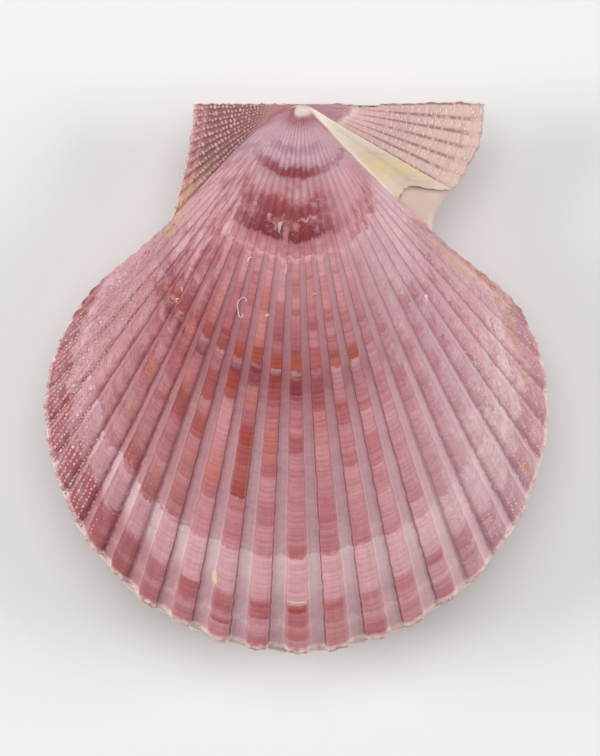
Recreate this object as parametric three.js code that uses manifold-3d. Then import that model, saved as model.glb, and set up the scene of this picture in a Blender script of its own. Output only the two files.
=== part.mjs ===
// A closed scallop shell: two ribbed valves and the ligament between them.
// Millimetres, +Z up, +Y towards the hinge, +X towards the front ear. The right valve is on top.
import * as THREE from 'three';
import Module from 'manifold-3d';

const wasm = await Module();
wasm.setup();

// The beaks are on the hinge line. An outline point is [x, distance below the hinge line].
const FAN_X = -0.66;
const BEAK_LEAN = 1.4;
const HINGE_REAR = -17.2;
const HINGE_FRONT = 30.4;

// The lower edge of the disc is one arc, and its two shoulders run up from it to the ears.
const DISC_RADIUS = 41.2;
const DISC_X = -0.3;
const DISC_DROP = 48.4;
const ARC_TOP = 50.0;
const ARC_STEPS = 72;
const SHOULDER_POINTS = 4;
const REAR_SHOULDER = [[-22.4, 20.6], [-26.1, 23.9], [-30.1, 27.1], [-33.4, 30.4], [-36.2, 33.9],
  [-38.7, 38.2], [-40.6, 43.6]];
const FRONT_SHOULDER = [[22.3, 21.2], [24.8, 23.6], [29.2, 27.0], [33.4, 30.4], [36.3, 33.9],
  [38.5, 38.0], [40.2, 43.6]];

// The ears, from the hinge line down to the disc.
const REAR_EAR = [[HINGE_REAR, 0], [-17.4, 3.2], [-18.3, 8.5], [-19.4, 13.5], [-20.3, 17.3], [-21.0, 19.3]];
const NOTCHED_EAR = [[HINGE_FRONT, 0], [30.3, 2.4], [29.8, 6.6], [28.1, 9.8], [26.7, 12.4], [25.2, 14.0],
  [21.6, 13.9], [19.0, 13.4], [17.4, 14.0]];
const NOTCH_TOP = 5;
const PLAIN_EAR = [[HINGE_FRONT, 0], [30.2, 2.4], [29.6, 6.6], [27.9, 9.8], [26.1, 12.6], [24.4, 14.7],
  [22.9, 17.0], [22.1, 19.0], [22.0, 20.4]];

// Growth: a growth line is the outline made smaller and swung up about the hinge line.
const RIGHT_SWING = 0.56;
const LEFT_SWING = 0.68;
const BEAK_SWING = 0.8;
const BEAK_CURL = 8;
const EAR_RISE = 0.35;
const DISC_SPREAD = 0.06;
const FLANK_SPREAD = 0.135;
const FLANK_BULGE = 1.5;
const REAR_SPREAD = -0.17;
const FRONT_SPREAD = -0.04;

// The ears and the byssal notch end part of the way down the disc.
const EAR_END = 0.57;
const NOTCH_END = 0.42;

// Ribs are numbered from the middle one, 0, and are set out in degrees about the fan point.
const RIB_PITCH = 4.27;
const RIB_CROWDING = 0.0037;
const RIB_TURN = 0.3;
const RIB_LAST = 12;
const RIB_FIELD = 12.45;

// Section of a rib, in parts of the space between two ribs: half its width, half its flat top, its height.
const RIB_FOOT = 0.31;
const RIB_TOP = 0.19;
const RIB_RELIEF = 0.15;

// Fine ribs of the ears.
const REAR_RIBLETS = 10;
const FRONT_RIBLETS = 6;
const PLAIN_RIBLETS = 8;
const RIBLET_RELIEF = 0.8;

// Wall, edge and the space between the valves.
const RIM = 1.1;
const WALL = 1.3;
const BEAK_WALL = 1.0;
const GAP = 0.3;
const EDGE_WAVE = 0.35;
const HINGE_PLATE = 6.2;
const PLATE_SLOPE = 1.6;
const STEEPEST = 0.2;
const REST_WEAR = 0.3;

// Ligament: a strip in a groove along the hinge line, and a pad in a pit under the beaks.
const GROOVE_HALF = 0.5;
const GROOVE_DEPTH = 2.2;
const PAD_LENGTH = 4.2;
const PAD_HALF = 2.4;
const PAD_THICK = 1.0;

// Rows of the mesh, as parts of the way from the beak to the lower edge. Those by the beak have fewer points.
const OUTER_ROWS = [0.03, 0.07, 0.12, 0.19, 0.27, 0.35, NOTCH_END, 0.49, EAR_END, 0.68, 0.79, 0.9, 1];
const INNER_ROWS = [0.09, 0.13, 0.19, 0.3, NOTCH_END, EAR_END, 0.7, 0.85, 1];
const THIN_BEFORE = 0.1;
const THINNING = 4;
const FLANK_STEPS = 3;

const DEGREE = Math.PI / 180;

function smooth(from, to, value) {
  const t = Math.min(Math.max((value - from) / (to - from), 0), 1);
  return t * t * (3 - 2 * t);
}

// Angle of an outline point about the fan point, 0 straight down from the hinge.
function fanAngle([x, drop]) {
  return Math.atan2(x - FAN_X, drop) / DEGREE;
}

// The outline from the rear end of the hinge line, round the disc, to its front end.
function outline(frontEar) {
  const points = [...REAR_EAR, ...REAR_SHOULDER];
  const end = Math.asin((ARC_TOP - DISC_DROP) / DISC_RADIUS);
  const start = Math.PI - end;
  for (let i = 0; i <= ARC_STEPS; i += 1) {
    const turn = start + (end - start) * (i / ARC_STEPS);
    points.push([DISC_X + DISC_RADIUS * Math.cos(turn), DISC_DROP + DISC_RADIUS * Math.sin(turn)]);
  }
  points.push(...[...FRONT_SHOULDER].reverse(), ...[...frontEar].reverse());
  return points;
}

// The outline with the two numbers that the growth of each of its points needs. The rise is low
// on the ears. The spread is how much a fan line bends on its way to the beak.
function growthEdge(frontEar, earEnd) {
  const points = outline(frontEar);
  const rear = { joint: REAR_EAR.length - 1, hinge: 0, spread: REAR_SPREAD, earEnd: EAR_END, step: 1 };
  const last = points.length - 1;
  const front = { joint: last - frontEar.length, hinge: last, spread: FRONT_SPREAD, earEnd, step: -1 };
  const edge = points.map(([x, drop], i) => {
    if (i > rear.joint && i < front.joint) {
      const side = smooth(30, 46, Math.abs(fanAngle([x, drop])));
      return { x, drop, spread: DISC_SPREAD + (FLANK_SPREAD - DISC_SPREAD) * side, rise: 1 };
    }
    const ear = i <= rear.joint ? rear : front;
    const spread = ear.spread * (drop / points[ear.joint][1]);
    return { x, drop, spread, rise: EAR_RISE };
  });
  for (const side of [rear, front]) {
    side.shoulder = side.joint + SHOULDER_POINTS * side.step;
    side.flank = ribPlace(edge, rear, front, -RIB_FIELD * side.step);
  }
  return { edge, rear, front, last };
}

// The edge at a place between its points, such as 10.5 for half way from point 10 to point 11.
function edgeAt(edge, place) {
  const i = Math.min(Math.floor(place), edge.length - 2);
  const mix = (key) => edge[i][key] + (edge[i + 1][key] - edge[i][key]) * (place - i);
  return { x: mix('x'), drop: mix('drop'), spread: mix('spread'), rise: mix('rise') };
}

// The place where the edge crosses a fan line, looked for between two of its points.
function placeOf(edge, angle, from, to) {
  let i = from;
  while (i < to - 1 && fanAngle([edge[i + 1].x, edge[i + 1].drop]) < angle) i += 1;
  const before = fanAngle([edge[i].x, edge[i].drop]);
  const after = fanAngle([edge[i + 1].x, edge[i + 1].drop]);
  return i + Math.min(Math.max((angle - before) / (after - before), 0), 1);
}

function ribAngle(rib) {
  return RIB_PITCH * rib - RIB_CROWDING * rib ** 3 + RIB_TURN;
}

// The place of a rib on the edge, between the shoulders of the disc.
function ribPlace(edge, rear, front, rib) {
  return placeOf(edge, ribAngle(rib), rear.joint + SHOULDER_POINTS, front.joint - SHOULDER_POINTS);
}

// Where a point of the margin was when the shell was smaller, with t from 0 at the beak to 1.
function grown(valve, { x, drop, spread, rise }, t) {
  const swing = valve.swing * (1 - t) + BEAK_SWING * (1 - t) ** BEAK_CURL;
  return new THREE.Vector3(
    FAN_X + (x - FAN_X) * t ** (1 + spread) + BEAK_LEAN * (1 - t) ** 6,
    -drop * t * Math.cos(swing),
    RIM + drop * t * Math.sin(swing) * rise,
  );
}

// The side of the disc: down the ear's joint, then along the outline of the shoulder.
function sideLine(valve, side, s) {
  if (s <= EAR_END) return grown(valve, valve.edge[side.joint], s / EAR_END);
  const way = (s - EAR_END) / (1 - EAR_END);
  return grown(valve, { ...edgeAt(valve.edge, side.joint + (side.shoulder - side.joint) * way), rise: 0 }, 1);
}

// The flank of the disc runs from its side line, at 0, up to its outermost rib, at 1.
function flank(valve, side, across, s) {
  const from = sideLine(valve, side, s);
  const to = grown(valve, edgeAt(valve.edge, side.flank), s);
  const low = from.z;
  const point = from.lerp(to, across);
  point.z = low + (to.z - low) * (1 - (1 - across) ** FLANK_BULGE);
  const chord = sideLine(valve, side, 1).lerp(grown(valve, edgeAt(valve.edge, side.flank), 1), across);
  const onEdge = edgeAt(valve.edge, side.shoulder + (side.flank - side.shoulder) * across);
  return point.add(grown(valve, onEdge, 1).sub(chord).multiplyScalar(s ** 8));
}

// A point of the plain outside of a valve, with s from 0 at the beak to 1 at the lower margin.
function skin(valve, place, s) {
  const { rear, front, edge } = valve;
  for (const side of [rear, front]) {
    const beyond = (place - side.joint) * side.step;
    if (beyond < 0) return grown(valve, edgeAt(edge, place), s / side.earEnd);
    const across = (place - side.joint) / (side.flank - side.joint);
    if (across < 1) return flank(valve, side, across, s);
  }
  return grown(valve, edgeAt(edge, place), s);
}

// The ears count as level. At a joint only the disc's side is looked at.
function outward(valve, place, s) {
  if (place < valve.rear.joint || place > valve.front.joint) return new THREE.Vector3(0, 0, 1);
  const low = Math.max(place - 0.3, valve.rear.joint);
  const high = Math.min(place + 0.3, valve.front.joint);
  const across = skin(valve, high, s).sub(skin(valve, low, s));
  const along = skin(valve, place, Math.min(s + 0.01, 1)).sub(skin(valve, place, Math.max(s - 0.01, 0)));
  return along.cross(across).normalize();
}

// Height of the line where the two valves meet. It rises under the ribs of the right valve.
function seam(rib, s) {
  return EDGE_WAVE * Math.cos(2 * Math.PI * rib) * smooth(0.8, 1, s);
}

function ribColumns(valve) {
  const { edge, rear, front } = valve;
  const columns = [];
  for (let rib = valve.firstRib; rib <= valve.lastRib; rib += 1) {
    const width = (RIB_PITCH - 3 * RIB_CROWDING * rib * rib) * DEGREE;
    for (const side of [-RIB_FOOT, -RIB_TOP, RIB_TOP, RIB_FOOT]) {
      const place = ribPlace(edge, rear, front, rib + side);
      const { x, drop } = edgeAt(edge, place);
      const raised = Math.abs(side) === RIB_TOP;
      columns.push({ place, relief: raised ? RIB_RELIEF * width * Math.hypot(x - FAN_X, drop) : 0 });
    }
  }
  return columns;
}

// Fine ribs of an ear, between two of the edge's points: a crest, then a furrow.
function earColumns(valve, from, to, riblets) {
  const columns = [];
  const first = fanAngle([valve.edge[from].x, valve.edge[from].drop]);
  const last = fanAngle([valve.edge[to].x, valve.edge[to].drop]);
  for (let i = 1; i < 2 * riblets; i += 1) {
    const angle = first + (last - first) * (i / (2 * riblets));
    columns.push({ place: placeOf(valve.edge, angle, from, to), relief: i % 2 === 1 ? RIBLET_RELIEF : 0 });
  }
  return columns;
}

function plainColumns(from, to, count) {
  return Array.from({ length: count + 1 }, (_, i) => ({ place: from + (to - from) * (i / count), relief: 0 }));
}

function outerColumns(valve) {
  const { rear, front, last, bareTo, riblets } = valve;
  return [
    { place: 0, relief: 0 },
    ...earColumns(valve, 0, rear.joint, REAR_RIBLETS),
    ...plainColumns(rear.joint, rear.flank, FLANK_STEPS),
    ...ribColumns(valve),
    ...plainColumns(front.flank, front.joint, FLANK_STEPS),
    ...(bareTo > front.joint ? plainColumns(front.joint + 1, bareTo, bareTo - front.joint - 1) : []),
    ...earColumns(valve, bareTo, last, riblets),
    { place: last, relief: 0 },
  ];
}

// The inside has two columns to a rib, so that both valves meet along one line.
function innerColumns(valve) {
  const { edge, rear, front, last } = valve;
  const columns = [
    ...plainColumns(0, rear.joint, rear.joint),
    ...plainColumns(rear.joint, rear.flank, FLANK_STEPS).slice(1),
  ];
  for (let half = -2 * RIB_LAST; half <= 2 * RIB_LAST; half += 1) {
    columns.push({ place: ribPlace(edge, rear, front, half / 2), rib: half / 2 });
  }
  return [
    ...columns,
    ...plainColumns(front.flank, front.joint, FLANK_STEPS),
    ...plainColumns(front.joint, last, last - front.joint).slice(1),
  ];
}

function outerPoint(valve, { place, relief }, s) {
  const point = skin(valve, place, s);
  if (relief > 0) point.addScaledVector(outward(valve, place, s), relief * s);
  return point;
}

// The edge of a valve: the hinge line, the ears' ends, the sides of the disc and its lower margin.
function onEdge(valve, place, s) {
  const sides = [valve.rear, valve.front];
  if (s === 1 || place === 0 || place === valve.last) return true;
  if (sides.some((side) => (place - side.joint) * side.step < 0 && s >= side.earEnd)) return true;
  return sides.some((side) => place === side.joint && s >= side.earEnd);
}

function innerPoint(valve, { place, rib }, s) {
  const line = (rib === undefined ? 0 : valve.side * seam(rib, s)) + GAP / 2;
  const point = skin(valve, place, s);
  const wall = (WALL + BEAK_WALL * (1 - s)) / Math.max(outward(valve, place, s).z, STEEPEST);
  const roof = Math.min(point.z - wall, (-point.y - HINGE_PLATE) * PLATE_SLOPE);
  point.z = onEdge(valve, place, s) ? line : Math.max(roof, line);
  return point;
}

// A sheet that fans out from one point at the beak, as rows of numbered vertices. A row also has a
// number that only grows, which tells how its points face those of the next row.
function fanSheet(vertices, valve, tip, steps, columns, point) {
  const few = columns.filter((_, i) => i % THINNING === 0 || i === columns.length - 1);
  const reaches = ({ place }, s) => place >= (s > valve.rear.earEnd ? valve.rear.joint : 0)
    && place <= (s > valve.front.earEnd ? valve.front.joint : valve.last);
  vertices.push(tip);
  return {
    tip: { vertex: vertices.length - 1, at: 0, s: 0 },
    rows: steps.map((s) => (s < THIN_BEFORE ? few : columns).filter((column) => reaches(column, s))
      .map((column) => {
        vertices.push(point(valve, column, s));
        return { vertex: vertices.length - 1, at: column.place, s };
      })),
  };
}

// A strip of triangles between two lines of vertices that run side by side.
function strip(above, below) {
  const triangles = [];
  let i = 0;
  let j = 0;
  while (i + 1 < above.length || j + 1 < below.length) {
    const stepAbove = j + 1 >= below.length || (i + 1 < above.length && above[i + 1].at <= below[j + 1].at);
    const next = stepAbove ? above[i + 1] : below[j + 1];
    triangles.push([above[i].vertex, below[j].vertex, next.vertex]);
    if (stepAbove) i += 1;
    else j += 1;
  }
  return triangles;
}

function sheetTriangles({ tip, rows }) {
  return [[tip], ...rows.slice(0, -1)].flatMap((row, i) => {
    const [first, last] = [rows[i][0].at, rows[i].at(-1).at];
    const facing = i === 0 ? row : row.filter(({ at }) => at >= first && at <= last);
    return strip(facing, rows[i]);
  });
}

// The edge of a sheet, once round from the beak. Each step has a number that only grows.
function sheetEdge({ tip, rows }, valve) {
  const half = (side, pick) => rows.slice(0, -1).flatMap((row) => {
    const outer = pick(row);
    const distance = ({ at }) => Math.abs(at - side.hinge);
    if (outer.s === side.earEnd) {
      const ear = row.filter(({ at }) => (at - side.joint) * side.step <= 0);
      return (side.step > 0 ? ear : ear.reverse()).map((v) => ({ ...v, at: 1 + distance(v) }));
    }
    const past = outer.s < side.earEnd ? 0 : 1 + Math.abs(side.joint - side.hinge);
    return [{ ...outer, at: outer.s + past }];
  });
  const rear = half(valve.rear, (row) => row[0]).map((v) => ({ ...v, at: v.at - 100 }));
  const front = half(valve.front, (row) => row.at(-1)).map((v) => ({ ...v, at: 1000 - v.at }));
  return [{ ...tip, at: -100 }, ...rear, ...rows.at(-1), ...front.reverse(), { ...tip, at: 1000 }];
}

function toManifold(vertices, triangles) {
  return new wasm.Manifold(new wasm.Mesh({
    numProp: 3,
    vertProperties: new Float32Array(vertices.flatMap((v) => [v.x, v.y, v.z])),
    triVerts: new Uint32Array(triangles.flat()),
  }));
}

function toGeometry(solid) {
  const mesh = solid.getMesh();
  const indexed = new THREE.BufferGeometry();
  indexed.setAttribute('position', new THREE.BufferAttribute(mesh.vertProperties, 3));
  indexed.setIndex(new THREE.BufferAttribute(mesh.triVerts, 1));
  const geometry = indexed.toNonIndexed();
  geometry.computeVertexNormals();
  return geometry;
}

function valveSolid(valve) {
  const vertices = [];
  const beak = skin(valve, 0, 0);
  const tip = new THREE.Vector3(beak.x, 0, GAP / 2);
  const outside = fanSheet(vertices, valve, beak, OUTER_ROWS, outerColumns(valve), outerPoint);
  const inside = fanSheet(vertices, valve, tip, INNER_ROWS, innerColumns(valve), innerPoint);
  if (valve.side < 0) wearFlat(vertices);
  const turned = ([a, b, c]) => [a, c, b];
  const triangles = [
    ...sheetTriangles(outside),
    ...sheetTriangles(inside).map(turned),
    ...strip(sheetEdge(outside, valve), sheetEdge(inside, valve)),
  ];
  if (valve.side > 0) return toManifold(vertices, triangles);
  vertices.forEach((v) => { v.z = -v.z; });
  return toManifold(vertices, triangles.map(turned));
}

// The crests that the shell rests on are worn to one flat level.
function wearFlat(vertices) {
  const level = Math.max(...vertices.map((v) => v.z)) - REST_WEAR;
  vertices.forEach((v) => { v.z = Math.min(v.z, level); });
}

// A prism between two like outlines, which run anticlockwise seen from the far one.
function prism(near, far) {
  const count = near.length;
  const triangles = [];
  for (let i = 0; i < count; i += 1) {
    const next = (i + 1) % count;
    triangles.push([i, next, next + count], [i, next + count, i + count]);
    if (i > 1) triangles.push([0, i, i - 1], [count, count + i - 1, count + i]);
  }
  return toManifold([...near, ...far], triangles);
}

// A wedge along the hinge line, with its thin edge inside the shell.
function wedge(fromX, toX, halfHeight, back, depth) {
  const section = [[back, -halfHeight], [back, halfHeight], [-depth, 0]];
  const [near, far] = [fromX, toX].map((x) => section.map(([y, z]) => new THREE.Vector3(x, y, z)));
  return prism(near, far);
}

// A pad that widens and thickens from its end at the beaks.
function pad(length, half, thick, thin, back) {
  const beakX = FAN_X + BEAK_LEAN;
  const tip = half * 0.25;
  const section = [
    [beakX - tip, back, thin],
    [beakX - half, -length, thick],
    [beakX + half, -length, thick],
    [beakX + tip, back, thin],
  ];
  const [near, far] = [-1, 1].map((side) => section.map(([x, y, z]) => new THREE.Vector3(x, y, side * z)));
  return prism(near, far);
}

function hingeSpace() {
  const groove = wedge(HINGE_REAR + 1, HINGE_FRONT - 1, GROOVE_HALF, 0.1, GROOVE_DEPTH);
  return groove.add(pad(PAD_LENGTH + GAP, PAD_HALF + GAP, PAD_THICK + GAP, GROOVE_HALF + 0.1, 0.1));
}

function ligamentSolid() {
  const thin = GROOVE_HALF - GAP;
  const band = wedge(HINGE_REAR + 1.5, HINGE_FRONT - 1.5, thin, -0.1, GROOVE_DEPTH - 0.9);
  return band.add(pad(PAD_LENGTH, PAD_HALF, PAD_THICK, thin + 0.1, -0.1));
}

const RIGHT = {
  ...growthEdge(NOTCHED_EAR, NOTCH_END),
  side: 1,
  swing: RIGHT_SWING,
  riblets: FRONT_RIBLETS,
  firstRib: -RIB_LAST,
  lastRib: RIB_LAST,
};
RIGHT.bareTo = RIGHT.last - NOTCH_TOP;

const LEFT = {
  ...growthEdge(PLAIN_EAR, EAR_END),
  side: -1,
  swing: LEFT_SWING,
  riblets: PLAIN_RIBLETS,
  firstRib: -RIB_LAST + 0.5,
  lastRib: RIB_LAST - 0.5,
};
LEFT.bareTo = LEFT.front.joint;

function rightValve() {
  const material = new THREE.MeshStandardMaterial({ color: 0xc98a96, roughness: 0.5, metalness: 0 });
  return named('right_valve', valveSolid(RIGHT).subtract(hingeSpace()), material);
}

function leftValve() {
  const material = new THREE.MeshStandardMaterial({ color: 0xd8b4ba, roughness: 0.5, metalness: 0 });
  return named('left_valve', valveSolid(LEFT).subtract(hingeSpace()), material);
}

function hingeLigament() {
  const material = new THREE.MeshStandardMaterial({ color: 0x3d2a1c, roughness: 0.6, metalness: 0 });
  return named('hinge_ligament', ligamentSolid(), material);
}

function named(name, solid, material) {
  const mesh = new THREE.Mesh(toGeometry(solid), material);
  mesh.name = name;
  return mesh;
}

const shell = new THREE.Group();
shell.add(rightValve(), leftValve(), hingeLigament());
const box = new THREE.Box3().setFromObject(shell);
shell.position.set(-(box.min.x + box.max.x) / 2, -(box.min.y + box.max.y) / 2, -box.min.z);

const group = new THREE.Group();
group.add(shell);

export default group;
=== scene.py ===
"""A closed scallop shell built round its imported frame: two ribbed valves, their scales and worm tubes."""

import math

import bpy
import numpy as np
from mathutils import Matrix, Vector


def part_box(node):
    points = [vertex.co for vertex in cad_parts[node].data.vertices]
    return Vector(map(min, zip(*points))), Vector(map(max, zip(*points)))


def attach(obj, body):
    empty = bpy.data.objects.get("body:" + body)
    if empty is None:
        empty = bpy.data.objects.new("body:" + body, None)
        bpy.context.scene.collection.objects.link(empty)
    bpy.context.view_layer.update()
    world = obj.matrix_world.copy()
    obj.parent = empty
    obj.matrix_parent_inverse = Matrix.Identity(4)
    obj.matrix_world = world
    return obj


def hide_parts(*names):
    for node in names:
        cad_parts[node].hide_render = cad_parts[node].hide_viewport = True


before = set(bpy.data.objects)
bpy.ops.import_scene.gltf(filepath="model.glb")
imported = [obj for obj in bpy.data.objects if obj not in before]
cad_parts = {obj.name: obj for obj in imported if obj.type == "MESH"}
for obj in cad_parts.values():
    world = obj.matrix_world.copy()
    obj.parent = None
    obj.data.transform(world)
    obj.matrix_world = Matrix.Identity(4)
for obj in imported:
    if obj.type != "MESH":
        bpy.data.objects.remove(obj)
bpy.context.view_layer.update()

MM = 0.001

# Growth model, in millimetres. An outline point is (x, distance below the hinge line).
FAN_X = -0.66
BEAK_LEAN = 1.4
LEAN_CURL = 6
DISC_RADIUS = 41.2
DISC_X = -0.3
DISC_DROP = 48.4
ARC_TOP = 50.0
ARC_STEPS = 72
SHOULDER_POINTS = 4
REAR_EAR = [(-17.2, 0), (-17.4, 3.2), (-18.3, 8.5), (-19.4, 13.5), (-20.3, 17.3), (-21.0, 19.3)]
REAR_SHOULDER = [(-22.4, 20.6), (-26.1, 23.9), (-30.1, 27.1), (-33.4, 30.4), (-36.2, 33.9),
                 (-38.7, 38.2), (-40.6, 43.6)]
FRONT_SHOULDER = [(22.3, 21.2), (24.8, 23.6), (29.2, 27.0), (33.4, 30.4), (36.3, 33.9),
                  (38.5, 38.0), (40.2, 43.6)]
NOTCHED_EAR = [(30.4, 0), (30.3, 2.4), (29.8, 6.6), (28.1, 9.8), (26.7, 12.4), (25.2, 14.0),
               (21.6, 13.9), (19.0, 13.4), (17.4, 14.0)]
NOTCH_TOP = 5
PLAIN_EAR = [(30.4, 0), (30.2, 2.4), (29.6, 6.6), (27.9, 9.8), (26.1, 12.6), (24.4, 14.7),
             (22.9, 17.0), (22.1, 19.0), (22.0, 20.4)]
RIGHT_SWING = 0.56
LEFT_SWING = 0.68
BEAK_SWING = 0.8
BEAK_CURL = 8
EAR_RISE = 0.35
DISC_SPREAD = 0.06
FLANK_SPREAD = 0.135
FLANK_BULGE = 1.5
MARGIN_GRIP = 8
REAR_SPREAD = -0.17
FRONT_SPREAD = -0.04
EAR_END = 0.57
NOTCH_END = 0.42

# Ribs are numbered from the middle one, 0, and set out in degrees about the fan point.
RIB_PITCH = 4.27
RIB_CROWDING = 0.0037
RIB_TURN = 0.3
RIB_FIELD = 12.45
RIB_RELIEF = 0.15
RIB_PHASES = (-0.5, -0.4, -0.335, -0.29, -0.25, -0.21, -0.1, 0.0, 0.1, 0.21, 0.25, 0.29, 0.335, 0.4)
RIBLET_RELIEF = 0.8
REAR_RIBLETS = 10
FRONT_RIBLETS = 6
PLAIN_RIBLETS = 8
FLANK_RIBLETS = 3

# Wall, edge and hinge.
RIM = 1.1
WALL = 1.3
BEAK_WALL = 1.0
SEAM_GAP = 0.15
EDGE_WAVE = 0.35
HINGE_PLATE = 6.2
PLATE_SLOPE = 1.6
STEEPEST = 0.2
GROOVE_HALF = 0.5
GROOVE_DEPTH = 2.2
PIT_HALF = 2.7
PIT_LENGTH = 4.5
PIT_DEPTH = 1.3
LIGAMENT_END = -15.7

# The line round the edge: its level in the wall, how far it stands out, and from where it faces outwards.
RIM_LEVEL = 0.55
RIM_LIFT = 0.1
RIM_PROUD = 0.12
RIM_CENTRE = -46
HINGE_ZONE = -0.6

# Ribs that stand for other parts of a valve.
LAST_RIB = 12
END_RIB = 13
EAR_RIB = 14.0
FLANK_RIBS = 1.5

# Degrees from the middle between which the disc's sides begin, and steps and gaps of the reckoning.
SIDE_ANGLES = (30, 46)
ANGLE_STEPS = 4000
STEP_ACROSS = 0.3
STEP_ALONG = 0.01
JOINT_GAP = 0.01
CLOSE = 1e-6
TOLERANCE = 1e-9


def smooth(low, high, value):
    """0 up to low, 1 from high, with a soft step between them."""
    t = np.clip((value - low) / (high - low), 0, 1)
    return t * t * (3 - 2 * t)


def through(points, places):
    """A smooth line through rows of numbers, read at places between them."""
    points = np.asarray(points, float)
    last = len(points) - 1
    i = np.clip(np.floor(places).astype(int), 0, last - 1)
    f = (places - i)[:, None]
    a, b = points[np.maximum(i - 1, 0)], points[i]
    c, d = points[i + 1], points[np.minimum(i + 2, last)]
    return 0.5 * (2 * b + (c - a) * f + (2 * a - 5 * b + 4 * c - d) * f**2 + (3 * b - a - 3 * c + d) * f**3)


def fan_angle(x, drop):
    """Degrees about the fan point, 0 straight down from the hinge."""
    return np.degrees(np.arctan2(x - FAN_X, drop))


def rib_angle(rib):
    return RIB_PITCH * rib - RIB_CROWDING * rib**3 + RIB_TURN


class Side:
    """Where one side of a valve has its ear, its shoulder and the flank of its disc."""

    def __init__(self, joint, hinge, spread, ear_end, step):
        self.joint = joint
        self.hinge = hinge
        self.spread = spread
        self.ear_end = ear_end
        self.step = step
        self.shoulder = joint + SHOULDER_POINTS * step
        self.flank = joint


class Valve:
    """Outline and growth of a valve. Places number the outline's points from the rear end of the hinge."""

    def __init__(self, facing, swing, front_ear, front_end, rib_shift, front_riblets, bare):
        self.facing = facing
        self.swing = swing
        self.rib_shift = rib_shift
        self.front_riblets = front_riblets
        end = math.asin((ARC_TOP - DISC_DROP) / DISC_RADIUS)
        turns = np.linspace(math.pi - end, end, ARC_STEPS + 1)
        arc = [(DISC_X + DISC_RADIUS * math.cos(t), DISC_DROP + DISC_RADIUS * math.sin(t)) for t in turns]
        self.points = np.array(REAR_EAR + REAR_SHOULDER + arc + FRONT_SHOULDER[::-1] + front_ear[::-1], float)
        self.last = len(self.points) - 1
        self.rear = Side(len(REAR_EAR) - 1, 0, REAR_SPREAD, EAR_END, 1)
        self.front = Side(self.last - len(front_ear), self.last, FRONT_SPREAD, front_end, -1)
        self.bare_to = self.last - NOTCH_TOP if bare else self.front.joint
        shoulders = self.rear.joint + SHOULDER_POINTS, self.front.joint - SHOULDER_POINTS
        self.rib_places = self.angle_table(*shoulders)
        for side in (self.rear, self.front):
            side.flank = float(self.rib_place(np.array([-RIB_FIELD * side.step]))[0])

    def edge(self, place):
        """x and drop of the outline at a place, smooth but for the corners at the joints."""
        place = np.asarray(place, float)
        found = np.zeros((len(place), 2))
        corners = [0, self.rear.joint, self.front.joint, self.front.joint + 1, self.last]
        for low, high in zip(corners[:-1], corners[1:]):
            here = (place >= low) & (place <= high)
            if here.any():
                found[here] = through(self.points[low:high + 1], place[here] - low)
        return found[:, 0], found[:, 1]

    def angle_table(self, low, high):
        places = np.linspace(low, high, ANGLE_STEPS)
        return fan_angle(*self.edge(places)), places

    def rib_place(self, rib):
        angles, places = self.rib_places
        return np.interp(rib_angle(rib), angles, places)

    def grown(self, x, drop, spread, rise, t):
        """Where a point of the margin was when the shell was smaller."""
        swing = self.swing * (1 - t) + BEAK_SWING * (1 - t) ** BEAK_CURL
        return np.stack([
            FAN_X + (x - FAN_X) * t ** (1 + spread) + BEAK_LEAN * (1 - t) ** LEAN_CURL,
            -drop * t * np.cos(swing),
            RIM + drop * t * np.sin(swing) * rise,
        ], axis=1)

    def disc_point(self, place, s):
        x, drop = self.edge(place)
        side = smooth(*SIDE_ANGLES, np.abs(fan_angle(x, drop)))
        return self.grown(x, drop, DISC_SPREAD + (FLANK_SPREAD - DISC_SPREAD) * side, 1, s)

    def side_line(self, side, s):
        """Down the ear's joint, then along the outline of the shoulder."""
        x, drop = self.points[side.joint]
        ear = self.grown(x, drop, side.spread, EAR_RISE, np.minimum(s / EAR_END, 1))
        way = np.clip((s - EAR_END) / (1 - EAR_END), 0, 1)
        x, drop = self.edge(side.joint + (side.shoulder - side.joint) * way)
        beyond = self.grown(x, drop, 0, 0, np.ones_like(s))
        return np.where((s <= EAR_END)[:, None], ear, beyond)

    def flank_point(self, side, across, s):
        """From the side line, at 0 across, up to the outermost rib, at 1."""
        flank = np.full_like(s, side.flank)
        low, high = self.side_line(side, s), self.disc_point(flank, s)
        weight = across[:, None]
        point = low + (high - low) * weight
        point[:, 2] = low[:, 2] + (high[:, 2] - low[:, 2]) * (1 - (1 - across) ** FLANK_BULGE)
        ones = np.ones_like(s)
        start, end = self.side_line(side, ones), self.disc_point(flank, ones)
        on_edge = self.disc_point(side.shoulder + (side.flank - side.shoulder) * across, ones)
        return point + (on_edge - start - (end - start) * weight) * (s**MARGIN_GRIP)[:, None]

    def ear_point(self, side, place, s):
        x, drop = self.edge(place)
        spread = side.spread * drop / self.points[side.joint][1]
        return self.grown(x, drop, spread, EAR_RISE, np.minimum(s / side.ear_end, 1))

    def skin(self, place, s):
        """The plain outside of the valve, with s from 0 at the beak to 1 at the lower margin."""
        place, s = np.asarray(place, float), np.asarray(s, float)
        found = self.disc_point(np.clip(place, self.rear.joint, self.front.joint), s)
        for side in (self.rear, self.front):
            beyond = (place - side.joint) * side.step
            across = beyond / abs(side.flank - side.joint)
            here = (across >= 0) & (across < 1)
            if here.any():
                found[here] = self.flank_point(side, across[here], s[here])
            here = beyond < 0
            if here.any():
                found[here] = self.ear_point(side, place[here], s[here])
        gap = place - self.front.joint
        here = (gap > 0) & (gap < 1) & (self.bare_to > self.front.joint)
        if here.any():
            joint = np.full(here.sum(), float(self.front.joint))
            low = self.flank_point(self.front, np.zeros_like(joint), s[here])
            high = self.ear_point(self.front, joint + 1, s[here])
            found[here] = low + (high - low) * gap[here][:, None]
        return found

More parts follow.
